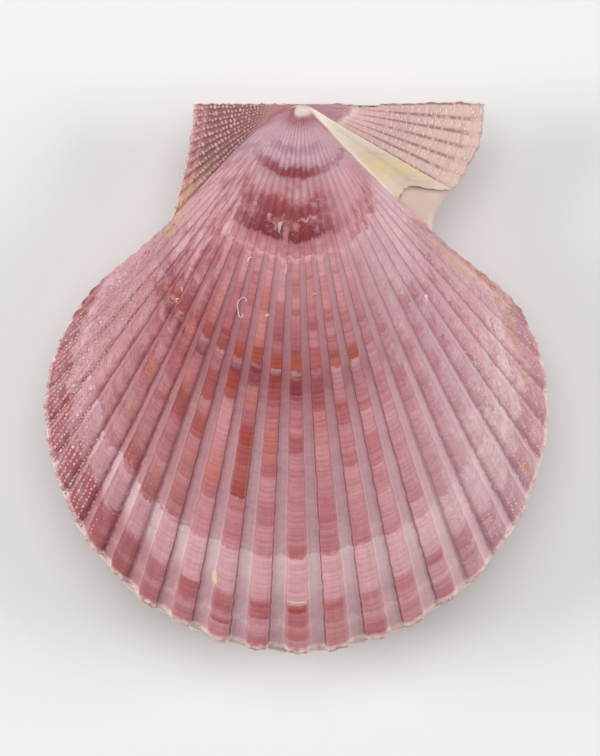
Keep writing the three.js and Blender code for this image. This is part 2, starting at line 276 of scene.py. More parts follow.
    def outward(self, place, s):
        """The direction in which ribs rise. The ears count as level."""
        low = np.maximum(place - STEP_ACROSS, self.rear.joint)
        high = np.minimum(place + STEP_ACROSS, self.front.joint)
        across = self.skin(high, s) - self.skin(low, s)
        later, earlier = np.minimum(s + STEP_ALONG, 1), np.maximum(s - STEP_ALONG, 0)
        along = self.skin(place, later) - self.skin(place, earlier)
        found = np.cross(along, across)
        found /= np.maximum(np.linalg.norm(found, axis=1), TOLERANCE)[:, None]
        on_ear = (place < self.rear.joint) | (place > self.front.joint)
        found[on_ear] = (0, 0, 1)
        return found


RIGHT = Valve(1, RIGHT_SWING, NOTCHED_EAR, NOTCH_END, 0.0, FRONT_RIBLETS, True)
LEFT = Valve(-1, LEFT_SWING, PLAIN_EAR, EAR_END, 0.5, PLAIN_RIBLETS, False)

# Rows of the mesh, as parts of the way from the beak to the lower margin.
OUTER_ROWS = np.unique(np.concatenate([
    np.linspace(0.012, NOTCH_END, 60), np.linspace(NOTCH_END, EAR_END, 25), np.linspace(EAR_END, 1, 74)]))
INNER_ROWS = np.unique(np.concatenate([
    np.linspace(0.05, NOTCH_END, 12), np.linspace(NOTCH_END, EAR_END, 6), np.linspace(EAR_END, 1, 17)]))
COLUMNS_PER_RIBLET = 8
FLANK_COLUMNS = 24
BARE_COLUMNS = 30
INNER_EAR_COLUMNS = 14
INNER_FLANK_COLUMNS = 8
FLANK_RELIEF = 0.4
TIP_LIFT = 0.3
HINGE_DIP = 0.55
HINGE_RISE = 0.28
# Raggedness of the worn edges, in millimetres: coarse to fine, and how far they are worn back.
MARGIN_CHIPS = (0.2, 0.13, 0.05)
EAR_CHIPS = (0.16, 0.1)
MARGIN_WEAR = 0.1
EAR_WEAR = 0.05
# Numbers that come before and after all others once round a valve's edge.
EDGE_START = -100.0
EDGE_END = 1000.0


# Waves of which a ripple is made: height, rate and how far the seed turns each.
RIPPLES = [(0.55, 1.0, 1.7), (0.45, 2.31, 2.9), (0.3, 5.17, 0.6), (0.2, 11.3, 4.1)]


def ripple(value, seed):
    """A wandering value about 0, mostly within 1, the same each run."""
    return sum(height * np.sin(rate * value + turn * seed) for height, rate, turn in RIPPLES)


class Lines:
    """Lines of a valve's mesh from the beak to its edge: place, rib number, wave and height of relief."""

    FIELDS = ("place", "rib", "wave", "fine", "height", "rear", "front", "bare")

    def __init__(self):
        self.columns = {name: [] for name in self.FIELDS}

    def add(self, place, **given):
        place = np.atleast_1d(np.asarray(place, float))
        for name in self.FIELDS:
            value = place if name == "place" else given.get(name, 0.0)
            self.columns[name].append(np.broadcast_to(np.asarray(value, float), place.shape))

    def done(self):
        """The lines as arrays, from the rear end of the hinge to its front end, each place once."""
        whole = {name: np.concatenate(parts) for name, parts in self.columns.items()}
        order = np.argsort(whole["place"], kind="stable")
        keep = np.concatenate([[True], np.diff(whole["place"][order]) > CLOSE])
        return {name: values[order][keep] for name, values in whole.items()}


def rib_heights(valve, rib):
    """Height of the ribs at the margin. A rib past the last one has none."""
    width = np.radians(RIB_PITCH - 3 * RIB_CROWDING * rib**2)
    x, drop = valve.edge(valve.rib_place(rib))
    last = LAST_RIB + 0.5 - valve.rib_shift
    return RIB_RELIEF * width * np.hypot(x - FAN_X, drop) * (np.abs(rib) < last)


def add_ear_lines(lines, valve, low, high, riblets, rib, **mask):
    angles, places = valve.angle_table(low, high)
    way = np.linspace(0, 1, riblets * COLUMNS_PER_RIBLET + 1)
    place = np.interp(angles[0] + (angles[-1] - angles[0]) * way, angles, places)
    lines.add(place, rib=rib, wave=riblets * way - 0.5, fine=1, height=RIBLET_RELIEF, **mask)


def outer_lines(valve):
    rear, front = valve.rear, valve.front
    lines = Lines()
    add_ear_lines(lines, valve, 0, rear.joint - JOINT_GAP, REAR_RIBLETS, -EAR_RIB, rear=1)
    across = np.linspace(0, 1, FLANK_COLUMNS)
    for side in (rear, front):
        rib = -side.step * (RIB_FIELD + (1 - across) * FLANK_RIBS)
        wave = -side.step * (RIB_FIELD + (1 - across) * FLANK_RIBLETS) - valve.rib_shift
        lines.add(side.joint + (side.flank - side.joint) * across, rib=rib, wave=wave, fine=1,
                  height=FLANK_RELIEF * smooth(0, 0.1, across) * (1 - smooth(0.95, 1, across)))
    rib = np.concatenate([k + np.array(RIB_PHASES) for k in range(-END_RIB, END_RIB + 2)]) + valve.rib_shift
    rib = rib[np.abs(rib) < RIB_FIELD - JOINT_GAP]
    lines.add(valve.rib_place(rib), rib=rib, wave=rib - valve.rib_shift, height=rib_heights(valve, rib))
    if valve.bare_to > front.joint:
        bare = np.linspace(front.joint + 0.05, valve.bare_to, BARE_COLUMNS)
        lines.add(bare, rib=EAR_RIB, front=1, bare=1)
    add_ear_lines(lines, valve, valve.bare_to + JOINT_GAP, valve.last, valve.front_riblets, EAR_RIB, front=1)
    return lines.done()


def inner_lines(valve):
    rear, front = valve.rear, valve.front
    lines = Lines()
    lines.add(np.linspace(0, rear.joint, INNER_EAR_COLUMNS), rib=-EAR_RIB, rear=1)
    lines.add(np.linspace(rear.joint, rear.flank, INNER_FLANK_COLUMNS), rib=-RIB_FIELD)
    rib = np.arange(-12.25, 12.3, 0.25)
    lines.add(valve.rib_place(rib), rib=rib, wave=rib - valve.rib_shift)
    lines.add(np.linspace(front.flank, front.joint, INNER_FLANK_COLUMNS), rib=RIB_FIELD)
    lines.add(np.linspace(front.joint + 1, valve.last, INNER_EAR_COLUMNS), rib=EAR_RIB, front=1)
    return lines.done()


def ragged(valve, lines, s):
    """How far the worn edge strays from the plain outline, in the plane of the photo."""
    place, rib = lines["place"], lines["rib"]
    shift = np.zeros((len(place), 2))
    point = valve.skin(place, s)[:, :2]
    reach = point - (FAN_X, 0)
    away = reach / np.maximum(np.linalg.norm(reach, axis=1), CLOSE)[:, None]
    seed = 1.0 if valve.facing > 0 else 2.3
    on_disc = (place >= valve.rear.joint) & (place <= valve.front.joint)
    steps = np.floor(rib * 2 + 0.4 * np.sin(rib * 3.1))
    coarse, middling, fine = MARGIN_CHIPS
    chips = coarse * np.sin(7.7 * steps + seed) + middling * ripple(rib * 6, seed)
    chips = chips + fine * ripple(rib * 31, seed)
    weight = smooth(0.95, 1, s) * on_disc
    for side in (valve.rear, valve.front):
        on_ear = (place - side.joint) * side.step < 0
        weight = np.where(on_ear, smooth(0.9, 1, s / side.ear_end), weight)
        hinge = 1 - smooth(0, 0.35, np.abs(place - side.hinge))
        bumps = EAR_CHIPS[0] * ripple(s * 90, seed + side.step) + EAR_CHIPS[1] * ripple(s * 210, seed)
        shift[:, 1] += np.where(on_ear, hinge * bumps * smooth(0.03, 0.1, s), 0)
    across = point[:, 0]
    dip = smooth(8.6, 9.8, across) * (1 - smooth(11.6, 14.5, across))
    crest = smooth(14.5, 24.0, across) * (1 - 0.8 * smooth(26.0, 30.5, across))
    shift[:, 1] += (HINGE_RISE * crest - HINGE_DIP * dip) * (1 - smooth(0, 1, valve.last - place))
    ears = EAR_CHIPS[0] * ripple(place * 9, seed + 1) + EAR_CHIPS[1] * ripple(place * 31, seed)
    return shift + away * (np.where(on_disc, chips - MARGIN_WEAR, ears - EAR_WEAR) * weight)[:, None]


def seam_line(valve, lines, point, s):
    """Height at which the valve's inside ends: the wavy seam, and the ligament's groove and pit."""
    on_disc = np.abs(lines["rib"]) < END_RIB
    wave = valve.facing * EDGE_WAVE * np.cos(2 * math.pi * lines["rib"]) * smooth(0.8, 1, s) * on_disc
    drop = -point[:, 1]
    groove = GROOVE_HALF * (1 - drop / GROOVE_DEPTH)
    pit = PIT_DEPTH * np.clip(drop / PIT_LENGTH, 0.35, 1)
    in_pit = np.abs(point[:, 0] - FAN_X - BEAK_LEAN) < PIT_HALF * np.clip(drop / PIT_LENGTH, 0.25, 1)
    in_pit &= drop < PIT_LENGTH
    return np.maximum(wave + SEAM_GAP, np.where(in_pit, pit, groove))


def edge_mask(valve, place, s):
    """True on a valve's edge: the hinge line, the ears' ends, the sides of the disc and its lower margin."""
    found = (s >= 1 - TOLERANCE) | (place <= TOLERANCE) | (place >= valve.last - TOLERANCE)
    for side in (valve.rear, valve.front):
        beyond = (place - side.joint) * side.step
        found |= (beyond < -TOLERANCE) & (s >= side.ear_end - TOLERANCE)
        found |= (np.abs(beyond) < TOLERANCE) & (s >= side.ear_end - TOLERANCE)
    return found


def outer_points(valve, lines, s):
    point = valve.skin(lines["place"], s)
    point[:, :2] += ragged(valve, lines, s)
    return point


def inner_points(valve, lines, s):
    point = outer_points(valve, lines, s)
    line = seam_line(valve, lines, point, s)
    slope = np.maximum(valve.outward(lines["place"], s)[:, 2], STEEPEST)
    roof = np.minimum(point[:, 2] - (WALL + BEAK_WALL * (1 - s)) / slope,
                      (-point[:, 1] - HINGE_PLATE) * PLATE_SLOPE)
    point[:, 2] = np.where(edge_mask(valve, lines["place"], s), line, np.maximum(roof, line))
    return point


class Sheet:
    """One side of a valve as a grid that fans out from the beak. Its numbers start at first."""

    def __init__(self, valve, lines, rows, points, first, tip):
        self.valve = valve
        self.rows = rows
        place = lines["place"]
        low = np.where(rows > valve.rear.ear_end + TOLERANCE, valve.rear.joint, 0)
        high = np.where(rows > valve.front.ear_end + TOLERANCE, valve.front.joint, valve.last)
        reaches = (place[None, :] >= low[:, None] - CLOSE) & (place[None, :] <= high[:, None] + CLOSE)
        self.index = np.where(reaches, np.cumsum(reaches).reshape(reaches.shape) + first, -1)
        self.tip = first
        row, column = np.nonzero(reaches)
        self.lines = {name: values[column] for name, values in lines.items()}
        self.s = rows[row]
        self.place = place
        self.points = np.vstack([tip, points(valve, self.lines, self.s)])
        self.count = len(self.points)

    def faces(self, turned):
        """Faces that look up, or down where turned."""
        a, b = self.index[:-1, :-1], self.index[1:, :-1]
        c, d = self.index[1:, 1:], self.index[:-1, 1:]
        whole = (a >= 0) & (b >= 0) & (c >= 0) & (d >= 0)
        quads = np.stack([a[whole], b[whole], c[whole], d[whole]], axis=1)
        start = self.index[0][self.index[0] >= 0]
        fan = np.stack([np.full(len(start) - 1, self.tip), start[:-1], start[1:]], axis=1)
        made = quads.tolist() + fan.tolist()
        return [face[::-1] for face in made] if turned else made

    def edge(self):
        """Vertices once round the edge from the beak, each with a number that only grows."""
        found = [(EDGE_START, self.tip)]
        found += [(EDGE_START + at, v) for at, v in self.half(self.valve.rear, 1)]
        found += [(p, v) for p, v in zip(self.place, self.index[-1]) if v >= 0]
        found += [(EDGE_END - at, v) for at, v in reversed(self.half(self.valve.front, -1))]
        return found + [(EDGE_END, self.tip)]

    def half(self, side, step):
        past = 1 + abs(side.joint - side.hinge)
        found = []
        for s, row in zip(self.rows[:-1], self.index[:-1]):
            shown = np.nonzero(row >= 0)[0][::step]
            if abs(s - side.ear_end) < TOLERANCE:
                ear = [c for c in shown if (self.place[c] - side.joint) * side.step <= CLOSE]
                found += [(1 + abs(self.place[c] - side.hinge), row[c]) for c in ear]
            else:
                found.append((s if s < side.ear_end else past + s, row[shown[0]]))
        return found


def strip(above, below):
    """Triangles between two lines of vertices that run side by side."""
    faces = []
    i = j = 0
    while i + 1 < len(above) or j + 1 < len(below):
        step_above = j + 1 >= len(below) or (i + 1 < len(above) and above[i + 1][0] <= below[j + 1][0])
        following = above[i + 1][1] if step_above else below[j + 1][1]
        faces.append([above[i][1], below[j][1], following])
        if step_above:
            i += 1
        else:
            j += 1
    return [face for face in faces if len(set(face)) == 3]


def frame_shift():
    """Where the growth model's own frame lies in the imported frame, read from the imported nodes."""
    low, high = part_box("right_valve")
    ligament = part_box("hinge_ligament")[0]
    return np.array([ligament.x / MM - LIGAMENT_END, high.y / MM, low.z / MM + EDGE_WAVE - SEAM_GAP])


SHIFT = frame_shift()


def placed(valve, points):
    """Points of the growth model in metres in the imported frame."""
    return (points * (1, 1, valve.facing) + SHIFT) * MM


def store(mesh, name, values):
    values = np.asarray(values, np.float32)
    kind, key = ("FLOAT_VECTOR", "vector") if values.ndim == 2 else ("FLOAT", "value")
    mesh.attributes.new(name, kind, "POINT").data.foreach_set(key, values.ravel())


def new_object(name, data):
    made = bpy.data.objects.new(name, data)
    bpy.context.scene.collection.objects.link(made)
    return made


def new_mesh(name, points, edges, faces):
    mesh = bpy.data.meshes.new(name)
    mesh.from_pydata(points, edges, faces)
    return mesh


def valve_base(valve, name):
    """The valve without its relief, closed, with what the relief and the colours read as attributes."""
    beak = valve.skin(np.zeros(1), np.zeros(1))
    outer = Sheet(valve, outer_lines(valve), OUTER_ROWS, outer_points, 0, beak)
    inner_tip = np.array([[beak[0, 0], 0, SEAM_GAP + TIP_LIFT]])
    inner = Sheet(valve, inner_lines(valve), INNER_ROWS, inner_points, outer.count, inner_tip)
    edge = outer.edge()
    rim_start = outer.count + inner.count
    rim = [(at, rim_start + i % (len(edge) - 1)) for i, (at, _) in enumerate(edge)]
    ids = np.array([v for _, v in edge[:-1]])
    rim_points = rim_of(outer.points[ids])
    up = valve.facing > 0
    walls = strip(edge, rim) + strip(rim, inner.edge())
    faces = outer.faces(not up) + inner.faces(up) + (walls if up else [face[::-1] for face in walls])
    points = np.vstack([outer.points, inner.points, rim_points])
    mesh = new_mesh(name, placed(valve, points).tolist(), [], faces)
    store_fields(mesh, valve, outer, inner, ids)
    mesh.update()
    return new_object(name, mesh)


def rim_of(points):
    """A line round the valve's edge, half way down its thickness and a little proud."""
    middle = points.copy()
    middle[:, 2] = middle[:, 2] * RIM_LEVEL + RIM_LIFT
    flat = points[:, :2] - (FAN_X, RIM_CENTRE)
    away = flat / np.maximum(np.linalg.norm(flat, axis=1), CLOSE)[:, None]
    on_hinge = points[:, 1] > HINGE_ZONE
    away[on_hinge] = (0, 1)
    middle[:, :2] += away * RIM_PROUD
    return middle


def store_fields(mesh, valve, outer, inner, rim_ids):
    """Point attributes, for the outside, the inside and the rim in turn."""
    lift = valve.outward(outer.lines["place"], outer.s) * (1, 1, valve.facing)
    lift = np.vstack([[(0, 0, 0)], lift])
    t = np.where(outer.lines["rear"] > 0, outer.s / valve.rear.ear_end, outer.s)
    t = np.where(outer.lines["front"] > 0, outer.s / valve.front.ear_end, t)
    fields = {name: np.concatenate([[values[0]], values]) for name, values in outer.lines.items()}
    fields["height"] = fields["height"] * np.concatenate([[0], outer.s]) * MM
    fields["grow"] = np.concatenate([[0], np.minimum(t, 1)])
    inside_fields = {name: np.concatenate([[values[0]], values]) for name, values in inner.lines.items()}
    inside_fields["height"] = np.zeros(inner.count)
    inside_fields["grow"] = np.concatenate([[0], inner.s])
    for name in ("rib", "wave", "fine", "height", "rear", "front", "bare", "grow"):
        rim = fields[name][rim_ids] * (0.5 if name == "height" else 1)
        store(mesh, name, np.concatenate([fields[name], inside_fields[name], rim]))
    store(mesh, "lift", np.vstack([lift, np.zeros((inner.count, 3)), lift[rim_ids]]))
    rim_count = len(rim_ids)
    store(mesh, "inside", np.concatenate([np.zeros(outer.count), np.ones(inner.count), np.zeros(rim_count)]))
    store(mesh, "rim", np.concatenate([np.zeros(outer.count + inner.count), np.ones(rim_count)]))


class Tree:
    """A node tree under construction. Values may be numbers, or sockets of nodes made before."""

    def __init__(self, tree):
        self.tree = tree

    def node(self, kind, values=None, **settings):
        made = self.tree.nodes.new(kind)
        for name, value in settings.items():
            setattr(made, name, value)
        for key, value in (values or {}).items():
            self.give(made.inputs[key], value)
        return made

    def give(self, socket, value):
        if isinstance(value, bpy.types.NodeSocket):
            self.tree.links.new(value, socket)
        elif value is not None:
            socket.default_value = value

    def math(self, operation, *values, clamp=False):
        made = self.node("ShaderNodeMath", operation=operation, use_clamp=clamp)
        for socket, value in zip(made.inputs, values):
            self.give(socket, value)
        return made.outputs[0]

    def times(self, *values):
        found = values[0]
        for value in values[1:]:
            found = self.math("MULTIPLY", found, value)
        return found

    def plus(self, *values):
        found = values[0]
        for value in values[1:]:
            found = self.math("ADD", found, value)
        return found

    def minus(self, first, second):
        return self.math("SUBTRACT", first, second)

    def opposite(self, value):
        """1 less a value."""
        return self.minus(1.0, value)

    def absolute(self, value):
        return self.math("ABSOLUTE", value)

    def scaled(self, vector, factor):
        made = self.node("ShaderNodeVectorMath", {"Vector": vector, "Scale": factor}, operation="SCALE")
        return made.outputs["Vector"]

    def join(self, x=0.0, y=0.0, z=0.0):
        return self.node("ShaderNodeCombineXYZ", {"X": x, "Y": y, "Z": z}).outputs[0]

    def ramp(self, value, low, high, to_low=0.0, to_high=1.0, smoothly=True):
        kind = "SMOOTHSTEP" if smoothly else "LINEAR"
        made = self.node("ShaderNodeMapRange", interpolation_type=kind)
        for name, given in zip(("Value", "From Min", "From Max", "To Min", "To Max"),
                               (value, low, high, to_low, to_high)):
            self.give(made.inputs[name], given)
        return made.outputs[0]


class Relief(Tree):
    """A Geometry Nodes tree with named inputs, which ends in Realize Instances and Set Material."""

    def __init__(self, name, inputs):
        super().__init__(bpy.data.node_groups.new(name, "GeometryNodeTree"))
        face = self.tree.interface
        face.new_socket("Geometry", in_out="INPUT", socket_type="NodeSocketGeometry")
        self.keys = {}
        for label, kind, default in inputs:
            socket = face.new_socket(label, in_out="INPUT", socket_type=kind)
            if default is not None:
                socket.default_value = default
            self.keys[label] = socket.identifier
        face.new_socket("Geometry", in_out="OUTPUT", socket_type="NodeSocketGeometry")
        self.given = self.tree.nodes.new("NodeGroupInput").outputs
        self.result = self.tree.nodes.new("NodeGroupOutput")

    def attribute(self, name, kind="FLOAT"):
        made = self.node("GeometryNodeInputNamedAttribute", {"Name": name}, data_type=kind)
        return made.outputs["Attribute"]

    def keep(self, geometry, name, value):
        given = {"Geometry": geometry, "Name": name, "Value": value}
        made = self.node("GeometryNodeStoreNamedAttribute", given, data_type="FLOAT", domain="POINT")
        return made.outputs["Geometry"]

    def moved(self, geometry, offset=None, position=None):
        made = self.node("GeometryNodeSetPosition", {"Geometry": geometry})
        self.give(made.inputs["Offset"], offset)
        if position is not None:
            self.give(made.inputs["Position"], position)
        return made.outputs[0]

    def finish(self, geometry):
        smoothed = self.node("GeometryNodeSetShadeSmooth", {"Geometry": geometry}).outputs[0]
        real = self.node("GeometryNodeRealizeInstances", {"Geometry": smoothed}).outputs[0]
        painted = self.node("GeometryNodeSetMaterial",
                            {"Geometry": real, "Material": self.given["Material"]}).outputs[0]
        self.tree.links.new(painted, self.result.inputs[0])


def grow(base, relief, values, name):
    """The base with its tree applied, as a plain mesh under a new name. The base goes."""
    modifier = base.modifiers.new(relief.tree.name, "NODES")
    modifier.node_group = relief.tree
    for label, value in values.items():
        modifier[relief.keys[label]] = value
    bpy.context.view_layer.update()
    evaluated = base.evaluated_get(bpy.context.evaluated_depsgraph_get())
    mesh = bpy.data.meshes.new_from_object(evaluated)
    mesh.name = name
    base.modifiers.remove(modifier)
    bpy.data.objects.remove(base)
    return new_object(name, mesh)


def rib_relief_tree():
    """Raises flat-topped ribs on the disc, rounded riblets on ears and flanks, and growth lines on all."""
    tree = Relief("rib relief", [
        ("Rib Height", "NodeSocketFloat", 1.0),
        ("Rib Foot", "NodeSocketFloat", 0.325),
        ("Rib Top", "NodeSocketFloat", 0.215),
        ("Crown", "NodeSocketFloat", 0.08),
        ("Side Foot", "NodeSocketFloat", 0.14),
        ("Side Top", "NodeSocketFloat", -0.03),
        ("Edge Wobble", "NodeSocketFloat", 0.1),
        ("Riblet Foot", "NodeSocketFloat", 0.42),
        ("Riblet Top", "NodeSocketFloat", 0.08),
        ("Broad Riblets", "NodeSocketFloat", 0.2),
        ("Growth Lines", "NodeSocketFloat", 110.0),
        ("Growth Relief", "NodeSocketFloat", 0.26 * MM),
        ("Bead Relief", "NodeSocketFloat", 0.35),
        ("Rest Level", "NodeSocketFloat", 0.0),
        ("Seed", "NodeSocketFloat", 1.0),
        ("Material", "NodeSocketMaterial", None),
    ])
    given = tree.given
    wave, fine, grow_at = tree.attribute("wave"), tree.attribute("fine"), tree.attribute("grow")
    edge_at = tree.join(tree.times(grow_at, 62.0), tree.times(wave, 2.3), given["Seed"])
    wobble = tree.node("ShaderNodeTexNoise", {"Vector": edge_at, "Scale": 1.0, "Detail": 3.0},
                       noise_dimensions="3D").outputs[0]
    wobble = tree.times(tree.minus(wobble, 0.5), given["Edge Wobble"])
    phase = tree.absolute(tree.math("WRAP", tree.plus(wave, wobble), 0.5, -0.5))
    sides = tree.ramp(tree.absolute(tree.attribute("rib")), 4.0, 8.0)
    foot = tree.plus(given["Rib Foot"], tree.times(sides, given["Side Foot"]))
    flat = tree.plus(given["Rib Top"], tree.times(sides, given["Side Top"]))
    top = tree.ramp(phase, foot, flat)
    crown = tree.times(given["Crown"], tree.ramp(phase, given["Rib Top"], 0.0))
    broad = tree.times(top, tree.plus(crown, 1.0))
    broad_by = tree.times(tree.attribute("front"), given["Broad Riblets"])
    riblet = tree.ramp(phase, tree.plus(given["Riblet Foot"], tree.times(broad_by, 0.35)),
                       tree.plus(given["Riblet Top"], broad_by))
    crest = tree.plus(tree.times(broad, tree.opposite(fine)), tree.times(riblet, fine))
    beads = tree.math("SINE", tree.times(grow_at, given["Growth Lines"]))
    beads = tree.times(beads, given["Bead Relief"], fine)
    height = tree.times(tree.times(crest, tree.attribute("height")),
                        tree.times(given["Rib Height"], tree.plus(1.0, beads)))
    where = tree.join(tree.times(grow_at, given["Growth Lines"]), tree.times(wave, 0.7), given["Seed"])
    lines = tree.node("ShaderNodeTexNoise", {"Vector": where, "Scale": 1.0, "Detail": 3.0, "Roughness": 0.6},
                      noise_dimensions="3D").outputs[0]
    growth = tree.times(tree.minus(lines, 0.5), given["Growth Relief"], tree.ramp(grow_at, 0.05, 0.5),
                        tree.opposite(tree.attribute("inside")))
    offset = tree.scaled(tree.attribute("lift", "FLOAT_VECTOR"), tree.plus(height, growth))
    geometry = tree.moved(given["Geometry"], offset=offset)
    place = tree.node("GeometryNodeInputPosition").outputs[0]
    axes = tree.node("ShaderNodeSeparateXYZ", {"Vector": place}).outputs
    rested = tree.join(axes["X"], axes["Y"], tree.math("MAXIMUM", axes["Z"], given["Rest Level"]))
    geometry = tree.moved(geometry, position=rested)
    tree.finish(tree.keep(geometry, "crest", crest))
    return tree


def linear(red, green, blue):
    """A colour given as it looks on a screen, 0 to 255, as the renderer takes it."""
    return tuple(((c / 255 + 0.055) / 1.055) ** 2.4 for c in (red, green, blue)) + (1.0,)


CREAM = linear(246, 232, 220)
LILAC = linear(204, 166, 176)
PINK = linear(212, 164, 170)
PALE_PINK = linear(222, 184, 190)
ROSE = linear(192, 134, 142)
MAUVE_ROSE = linear(182, 120, 134)
PURPLE = linear(158, 108, 122)
DUSKY = linear(169, 95, 99)
WINE = linear(140, 64, 70)
DARK_WINE = linear(120, 40, 46)
BRICK = linear(148, 56, 46)
ORANGE = linear(154, 66, 40)
SALMON = linear(188, 108, 92)
GAP_PALE = linear(214, 182, 186)
GAP_BRIGHT = linear(216, 184, 190)
GAP_DARK = linear(157, 99, 105)
BROWN_MAUVE = linear(150, 108, 106)
MAGENTA = linear(172, 120, 136)
PALE_CREAM = linear(230, 204, 194)
GROOVE_MAUVE = linear(168, 128, 124)
EAR_PINK = linear(214, 176, 175)
EAR_ROSE = linear(192, 142, 142)
LEFT_GAP = linear(207, 160, 163)
SAND = linear(208, 172, 140)
YELLOW = linear(232, 212, 168)
PORCELAIN = linear(212, 188, 178)
BAND_CREAM = linear(222, 204, 184)
EAR_CREAM = linear(222, 192, 182)
RIDGE_TAN = linear(172, 124, 120)
YOUNG_ROSE = linear(170, 108, 118)
EDGE_ROSE = linear(174, 122, 122)
CHALK = linear(236, 232, 222)
RUST = linear(186, 120, 76)
BEAD_PINK = linear(200, 154, 155)
HORN = [(0.0, linear(58, 36, 24)), (0.6, linear(92, 58, 36)), (1.0, linear(120, 82, 52))]
DRY_HORN = linear(146, 112, 80)

# How deep the colour of the rings is on the middle ribs, from pale to wine, along the growth of the shell.
YOUNG_RINGS = [
    (0.0, 0.0), (0.048, 0.0), (0.056, 0.8), (0.068, 0.85), (0.076, 0.4), (0.09, 0.1), (0.11, 0.12),
    (0.119, 0.6), (0.128, 0.5), (0.137, 0.12), (0.146, 0.35), (0.157, 0.7), (0.162, 1.0), (0.172, 1.0),
    (0.178, 0.4), (0.19, 0.42), (0.205, 0.5), (0.22, 0.72), (0.235, 1.0), (0.244, 0.95), (0.25, 0.7),
    (0.26, 0.72), (0.268, 1.0), (0.284, 1.0), (0.289, 0.6), (0.302, 0.66), (0.315, 0.6), (0.318, 0.1),
    (0.322, 0.45), (0.335, 0.68)]
GROWN_RINGS = [
    (0.32, 0.55), (0.36, 0.8), (0.42, 0.94), (0.48, 1.0), (0.508, 1.0), (0.513, 0.6), (0.52, 0.9),
    (0.56, 0.9), (0.62, 0.96), (0.70, 0.8), (0.78, 0.74), (0.826, 0.77), (0.831, 0.05), (0.838, 0.16),
    (0.885, 0.24), (0.905, 0.36), (0.912, 0.86), (0.944, 0.86), (0.952, 0.45), (0.96, 0.8), (1.0, 0.9)]
GAP_RINGS = [
    (0.30, 0.6), (0.36, 0.7), (0.46, 0.88), (0.508, 0.95), (0.52, 1.1), (0.542, 1.1), (0.555, 0.92),
    (0.64, 0.64), (0.78, 0.5), (0.828, 0.36), (0.832, 0.0), (0.84, 0.0), (0.885, 0.08), (0.92, 0.38),
    (0.948, 0.36), (0.955, 0.1), (0.965, 0.36), (1.0, 0.4)]
# How strong the rings are across the shell, over rib numbers -13 to 13 set out from 0 to 1.
YOUNG_STRENGTH = [
    (0.0, 0.3), (0.12, 0.3), (0.2, 0.55), (0.3, 0.9), (0.38, 1.0), (0.54, 1.0), (0.64, 0.92),
    (0.70, 0.55), (0.8, 0.34), (1.0, 0.34)]
GROWN_STRENGTH = [
    (0.0, 0.3), (0.08, 0.36), (0.22, 0.92), (0.32, 1.0), (0.54, 1.0), (0.62, 0.92), (0.70, 0.86),
    (0.82, 0.72), (1.0, 0.72)]
GAP_STRENGTH = [
    (0.0, 0.4), (0.08, 0.45), (0.22, 0.95), (0.32, 0.95), (0.4, 0.84), (0.54, 0.82), (0.62, 0.7),
    (0.70, 0.5), (0.82, 0.4), (1.0, 0.4)]
# Blocks of colour on single ribs: rib, start and end as growth, colour and strength.
BLOCKS = [
    (-2, 0.345, 0.478, SALMON, 0.55), (-5, 0.39, 0.48, SALMON, 0.45), (-4, 0.37, 0.478, DUSKY, 0.6),
    (-4, 0.532, 0.602, BRICK, 0.95), (-4, 0.602, 0.678, BRICK, 0.55), (-3, 0.528, 0.577, BRICK, 0.95),
    (-3, 0.655, 0.735, SALMON, 0.65), (-2, 0.512, 0.541, DARK_WINE, 0.9), (-2, 0.545, 0.582, SALMON, 0.55),
    (-2, 0.602, 0.742, BRICK, 0.85), (-1, 0.524, 0.542, BRICK, 0.6), (-1, 0.55, 0.577, ORANGE, 0.45),
    (-1, 0.602, 0.68, SALMON, 0.5), (0, 0.515, 0.551, DARK_WINE, 1.0), (0, 0.608, 0.65, BRICK, 0.75),
    (0, 0.80, 0.83, BRICK, 0.4), (0, 0.907, 0.926, BRICK, 0.75), (0, 0.926, 0.951, DUSKY, 0.5),
    (1, 0.45, 0.508, DUSKY, 0.6), (2, 0.55, 0.585, ORANGE, 0.4), (2, 0.655, 0.679, BRICK, 0.5),
    (4, 0.545, 0.575, BRICK, 0.4), (-5, 0.612, 0.676, BRICK, 0.7), (-6, 0.65, 0.676, ORANGE, 0.4),
    (-7, 0.62, 0.676, SALMON, 0.7), (-6, 0.772, 0.822, BRICK, 0.55), (-5, 0.765, 0.832, BRICK, 0.5),
    (-4, 0.752, 0.80, ORANGE, 0.3), (-7, 0.445, 0.50, WINE, 0.5), (-9, 0.50, 0.56, BRICK, 0.5),
    (0, 0.374, 0.405, PALE_PINK, 0.2), (-3, 0.582, 0.65, PINK, 0.25), (-1, 0.254, 0.29, ROSE, 0.6),
    (3, 0.285, 0.305, SALMON, 0.6), (2, 0.38, 0.41, PINK, 0.25), (5, 0.49, 0.53, DUSKY, 0.5),
    (5, 0.57, 0.60, DUSKY, 0.4), (7, 0.46, 0.50, DUSKY, 0.4), (6, 0.54, 0.57, DUSKY, 0.3)]
